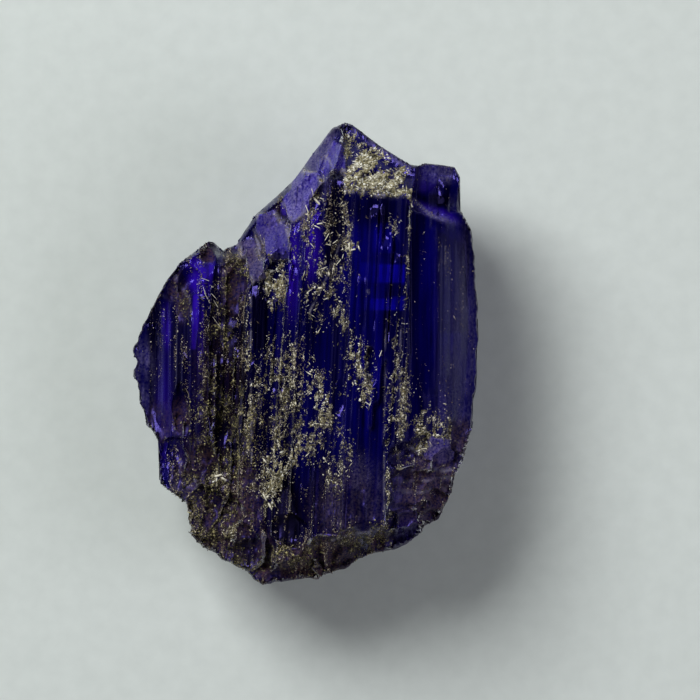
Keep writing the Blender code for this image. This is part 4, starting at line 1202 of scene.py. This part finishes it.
for name, (reading, low, high, out_low, out_high) in RANGES.items():
    read[name] = node(tanzanite, "ShaderNodeMapRange",
                      {0: read[reading], 1: low, 2: high, 3: out_low, 4: out_high}).outputs[0]
for name in ("frost", "brown_and_shade"):
    read[name + "_share"] = node(tanzanite, "ShaderNodeMath", {0: read[name], 1: read[name + "_clouds"]},
                                 operation="MULTIPLY").outputs[0]
print(len(RANGES), "ranges")

# %% Its colour
# Grounds of two shades: (the range that picks between them, the dark shade, the light shade)
GROUNDS = {
    "bare": ("bands", "#020130", "#08056c"),
    # Lavender frost, partly a painted sheen
    "frosted": ("frost_sugar", "#2a1c9c", "#cbbeff"),
    # The brown ground, for stains and for painted shade
    "earthy_and_shaded": ("brown_sugar", "#100a05", "#70502e"),
    "dusted": ("dust_sugar", "#0e0a05", "#473820"),
    "crusted": ("crust_sugar", "#171224", "#8c7e60"),
}
ground = {}
for name, (picker, dark, light) in GROUNDS.items():
    ground[name] = node(tanzanite, "ShaderNodeMix", {0: read[picker], 6: linear(dark), 7: linear(light)},
                        data_type="RGBA").outputs[2]

# Laid over the bare stone, each over those before it: (how much of it shows, its colour)
LAYERS = [
    # Painted glow: bright blue
    ("inner", linear("#1206c8")),
    # Violet, partly the stone's own and partly a painted glow and painted highlights
    ("violet_and_glow", linear("#4318e8")),
    # Painted sheen along the striations
    ("hair_share", linear("#14107c")),
    # Painted shade: near black
    ("painted_shade", linear("#010008")),
    # Lavender frost, partly painted sheen
    ("frost_share", ground["frosted"]),
    # Brown stains, partly painted shade and a painted warm reflection
    ("brown_and_shade_share", ground["earthy_and_shaded"]),
    ("dust_share", ground["dusted"]),
    ("crust_share", ground["crusted"]),
    # Pale edges and seams, partly painted highlights
    ("pale_edges_and_highlights", linear("#cdc6e2")),
    # Painted shade on the steep rim: near black
    ("rim_share", linear("#04020a")),
]
body = ground["bare"]
for share, colour in LAYERS:
    body = node(tanzanite, "ShaderNodeMix", {0: read[share], 6: body, 7: colour}, data_type="RGBA").outputs[2]
print(len(LAYERS), "layers over the bare stone")

# %% Its gloss, its fine relief and its depth
# Clean faces are glossy, and the most altered ones are dull, as are the strongest places of the painted shade
# and the steep rim
CLEAN_ROUGHNESS = 0.11
DULL_ROUGHNESS = 0.78
dull = read["frost"]
for other in ("brown_and_shade", "dust_share", "crust_share", "painted_shade_dull", "rim_dull"):
    dull = node(tanzanite, "ShaderNodeMath", {0: dull, 1: read[other]}, operation="MAXIMUM").outputs[0]
plain_gloss = node(tanzanite, "ShaderNodeMapRange",
                   {0: dull, 3: CLEAN_ROUGHNESS, 4: DULL_ROUGHNESS}).outputs[0]
gloss = node(tanzanite, "ShaderNodeMath", {0: plain_gloss, 1: read["hair_gloss"]}, operation="ADD").outputs[0]

hair_bump = node(tanzanite, "ShaderNodeBump",
                 {"Strength": 0.3, "Distance": 0.025 * MM, "Height": read["hair"]})
sugar_strength = node(tanzanite, "ShaderNodeMapRange", {0: dull, 1: 0.1, 3: 0.05, 4: 0.8}).outputs[0]
sugar_bump = node(tanzanite, "ShaderNodeBump", {"Strength": sugar_strength, "Distance": 0.05 * MM,
                                                "Height": read["sugar"], "Normal": hair_bump.outputs[0]})
surface = node(tanzanite, "ShaderNodeBsdfPrincipled",
               {"Base Color": body, "Roughness": gloss, "Normal": sugar_bump.outputs[0], "IOR": 1.69,
                "Transmission Weight": 0.6, "Specular IOR Level": 0.13, "Specular Tint": linear("#8a7cf0")})
# On the way through the stone, light loses its green first, then its red and its blue last
depth_tint = node(tanzanite, "ShaderNodeVolumeAbsorption", {"Color": linear("#7c45ef"), "Density": 2600.0})
node(tanzanite, "ShaderNodeOutputMaterial", {"Surface": surface.outputs[0], "Volume": depth_tint.outputs[0]})
skin_mesh.materials.append(tanzanite)
print("tanzanite:", len(tanzanite.node_tree.nodes), "nodes")

# %% [markdown]
# ### Broken feldspar and calcite
# The grains are chips of pale minerals. Each chip keeps one shade, from dirty gold to almost white: partly the
# chips' own tones, partly painted light, with the lightest shades as painted glints, the darkest as painted
# shade between the grains, and brighter shades on the cap where it faces the light. A few turn a flat face to
# the light and glitter, which needs a low roughness on some of them.

# %% The grains' finish
# The light shade stands partly for a painted glint and the dark one partly for painted shade between grains
def grain_material(name, dark, middle, light, sheen_low):
    """A finish for grains. Each grain's own random number picks its shade, from dark over middle to light,
    and its roughness, from dull to sheen_low, and fine dirt in the dark shade lies over it."""
    material = new_material(name)
    own = node(material, "ShaderNodeAttribute", attribute_name="grain").outputs["Fac"]
    place = node(material, "ShaderNodeTexCoord").outputs["Object"]
    dirt = node(material, "ShaderNodeTexNoise",
                {"Vector": place, "Scale": 1 / (0.05 * MM), "Detail": 2.0}).outputs[0]
    shade = linear(dark)
    # Each is (reading, from low, from high, its most, its colour)
    for reading, low, high, most, colour in ((own, 0.0, 0.6, 1.0, middle), (own, 0.60, 0.95, 1.0, light),
                                             (dirt, 0.45, 0.75, 0.35, dark)):
        share = node(material, "ShaderNodeMapRange", {0: reading, 1: low, 2: high, 4: most}).outputs[0]
        shade = node(material, "ShaderNodeMix", {0: share, 6: shade, 7: linear(colour)},
                     data_type="RGBA").outputs[2]
    dullness = node(material, "ShaderNodeMapRange", {0: own, 1: 0.5, 3: 0.75, 4: sheen_low}).outputs[0]
    shader = node(material, "ShaderNodeBsdfPrincipled",
                  {"Base Color": shade, "Roughness": dullness, "IOR": 1.53})
    node(material, "ShaderNodeOutputMaterial", {"Surface": shader.outputs[0]})
    return material


# Each piece's finish: its name, its dark, middle and light shade, and the roughness of its brightest grains.
# The light shades are partly painted glints, the dark ones partly painted shade, and the cap's flakes are
# painted brighter where the cap faces the light.
GRAIN_FINISHES = [
    (cream_grains, "feldspar_chips", "#26231a", "#857a58", "#fff8e0", 0.2),
    (cap_flakes, "cleaved_feldspar_flakes", "#3c3826", "#b0a57c", "#fffdf2", 0.15),
    (needles, "feldspar_needle_cleaved", "#6a6248", "#bdb290", "#f6f0dc", 0.35),
    (olive_grains, "stained_calcite_dust", "#14110a", "#4c4428", "#bdb27a", 0.3),
    (fine_dust, "loose_calcite_dust", "#281f17", "#7c6a52", "#f0e2c8", 0.25),
]
for piece, *finish in GRAIN_FINISHES:
    piece.data.materials.append(grain_material(*finish))
print(len(GRAIN_FINISHES), "finishes for grains")

# %% [markdown]
# ### The floor
# A sheet of plain matt card in the pale greenish white of the room. Its fibres are far too fine to show, so
# they're drawn as faint clouds of 0.8 mm, which keep the wide plain area from looking empty.

# %% The floor's finish
card = new_material("matt_card")
card_place = node(card, "ShaderNodeTexCoord").outputs["Object"]
fibres = node(card, "ShaderNodeTexNoise", {"Vector": card_place, "Scale": 1 / (0.8 * MM)}).outputs[0]
fibre_share = node(card, "ShaderNodeMapRange", {0: fibres, 1: 0.3, 2: 0.7}).outputs[0]
card_colour = node(card, "ShaderNodeMix", {0: fibre_share, 6: linear("#d3d9d3"), 7: linear("#d8ded8")},
                   data_type="RGBA").outputs[2]
card_surface = node(card, "ShaderNodeBsdfPrincipled", {"Base Color": card_colour, "Roughness": 0.9})
node(card, "ShaderNodeOutputMaterial", {"Surface": card_surface.outputs[0]})
floor_mesh.materials.append(card)
print("floor:", len(card.node_tree.nodes), "nodes")

# %% [markdown]
# ## Its size
# The dressed stone has to fill the CAD solid's box and not stick out of it, so both boxes are printed.

# %% Size
boxes = {"cad": CAD_BOX, "visual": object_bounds()}
boxes = {key: [list(map(float, corner)) for corner in box] for key, box in boxes.items()}
print(boxes)
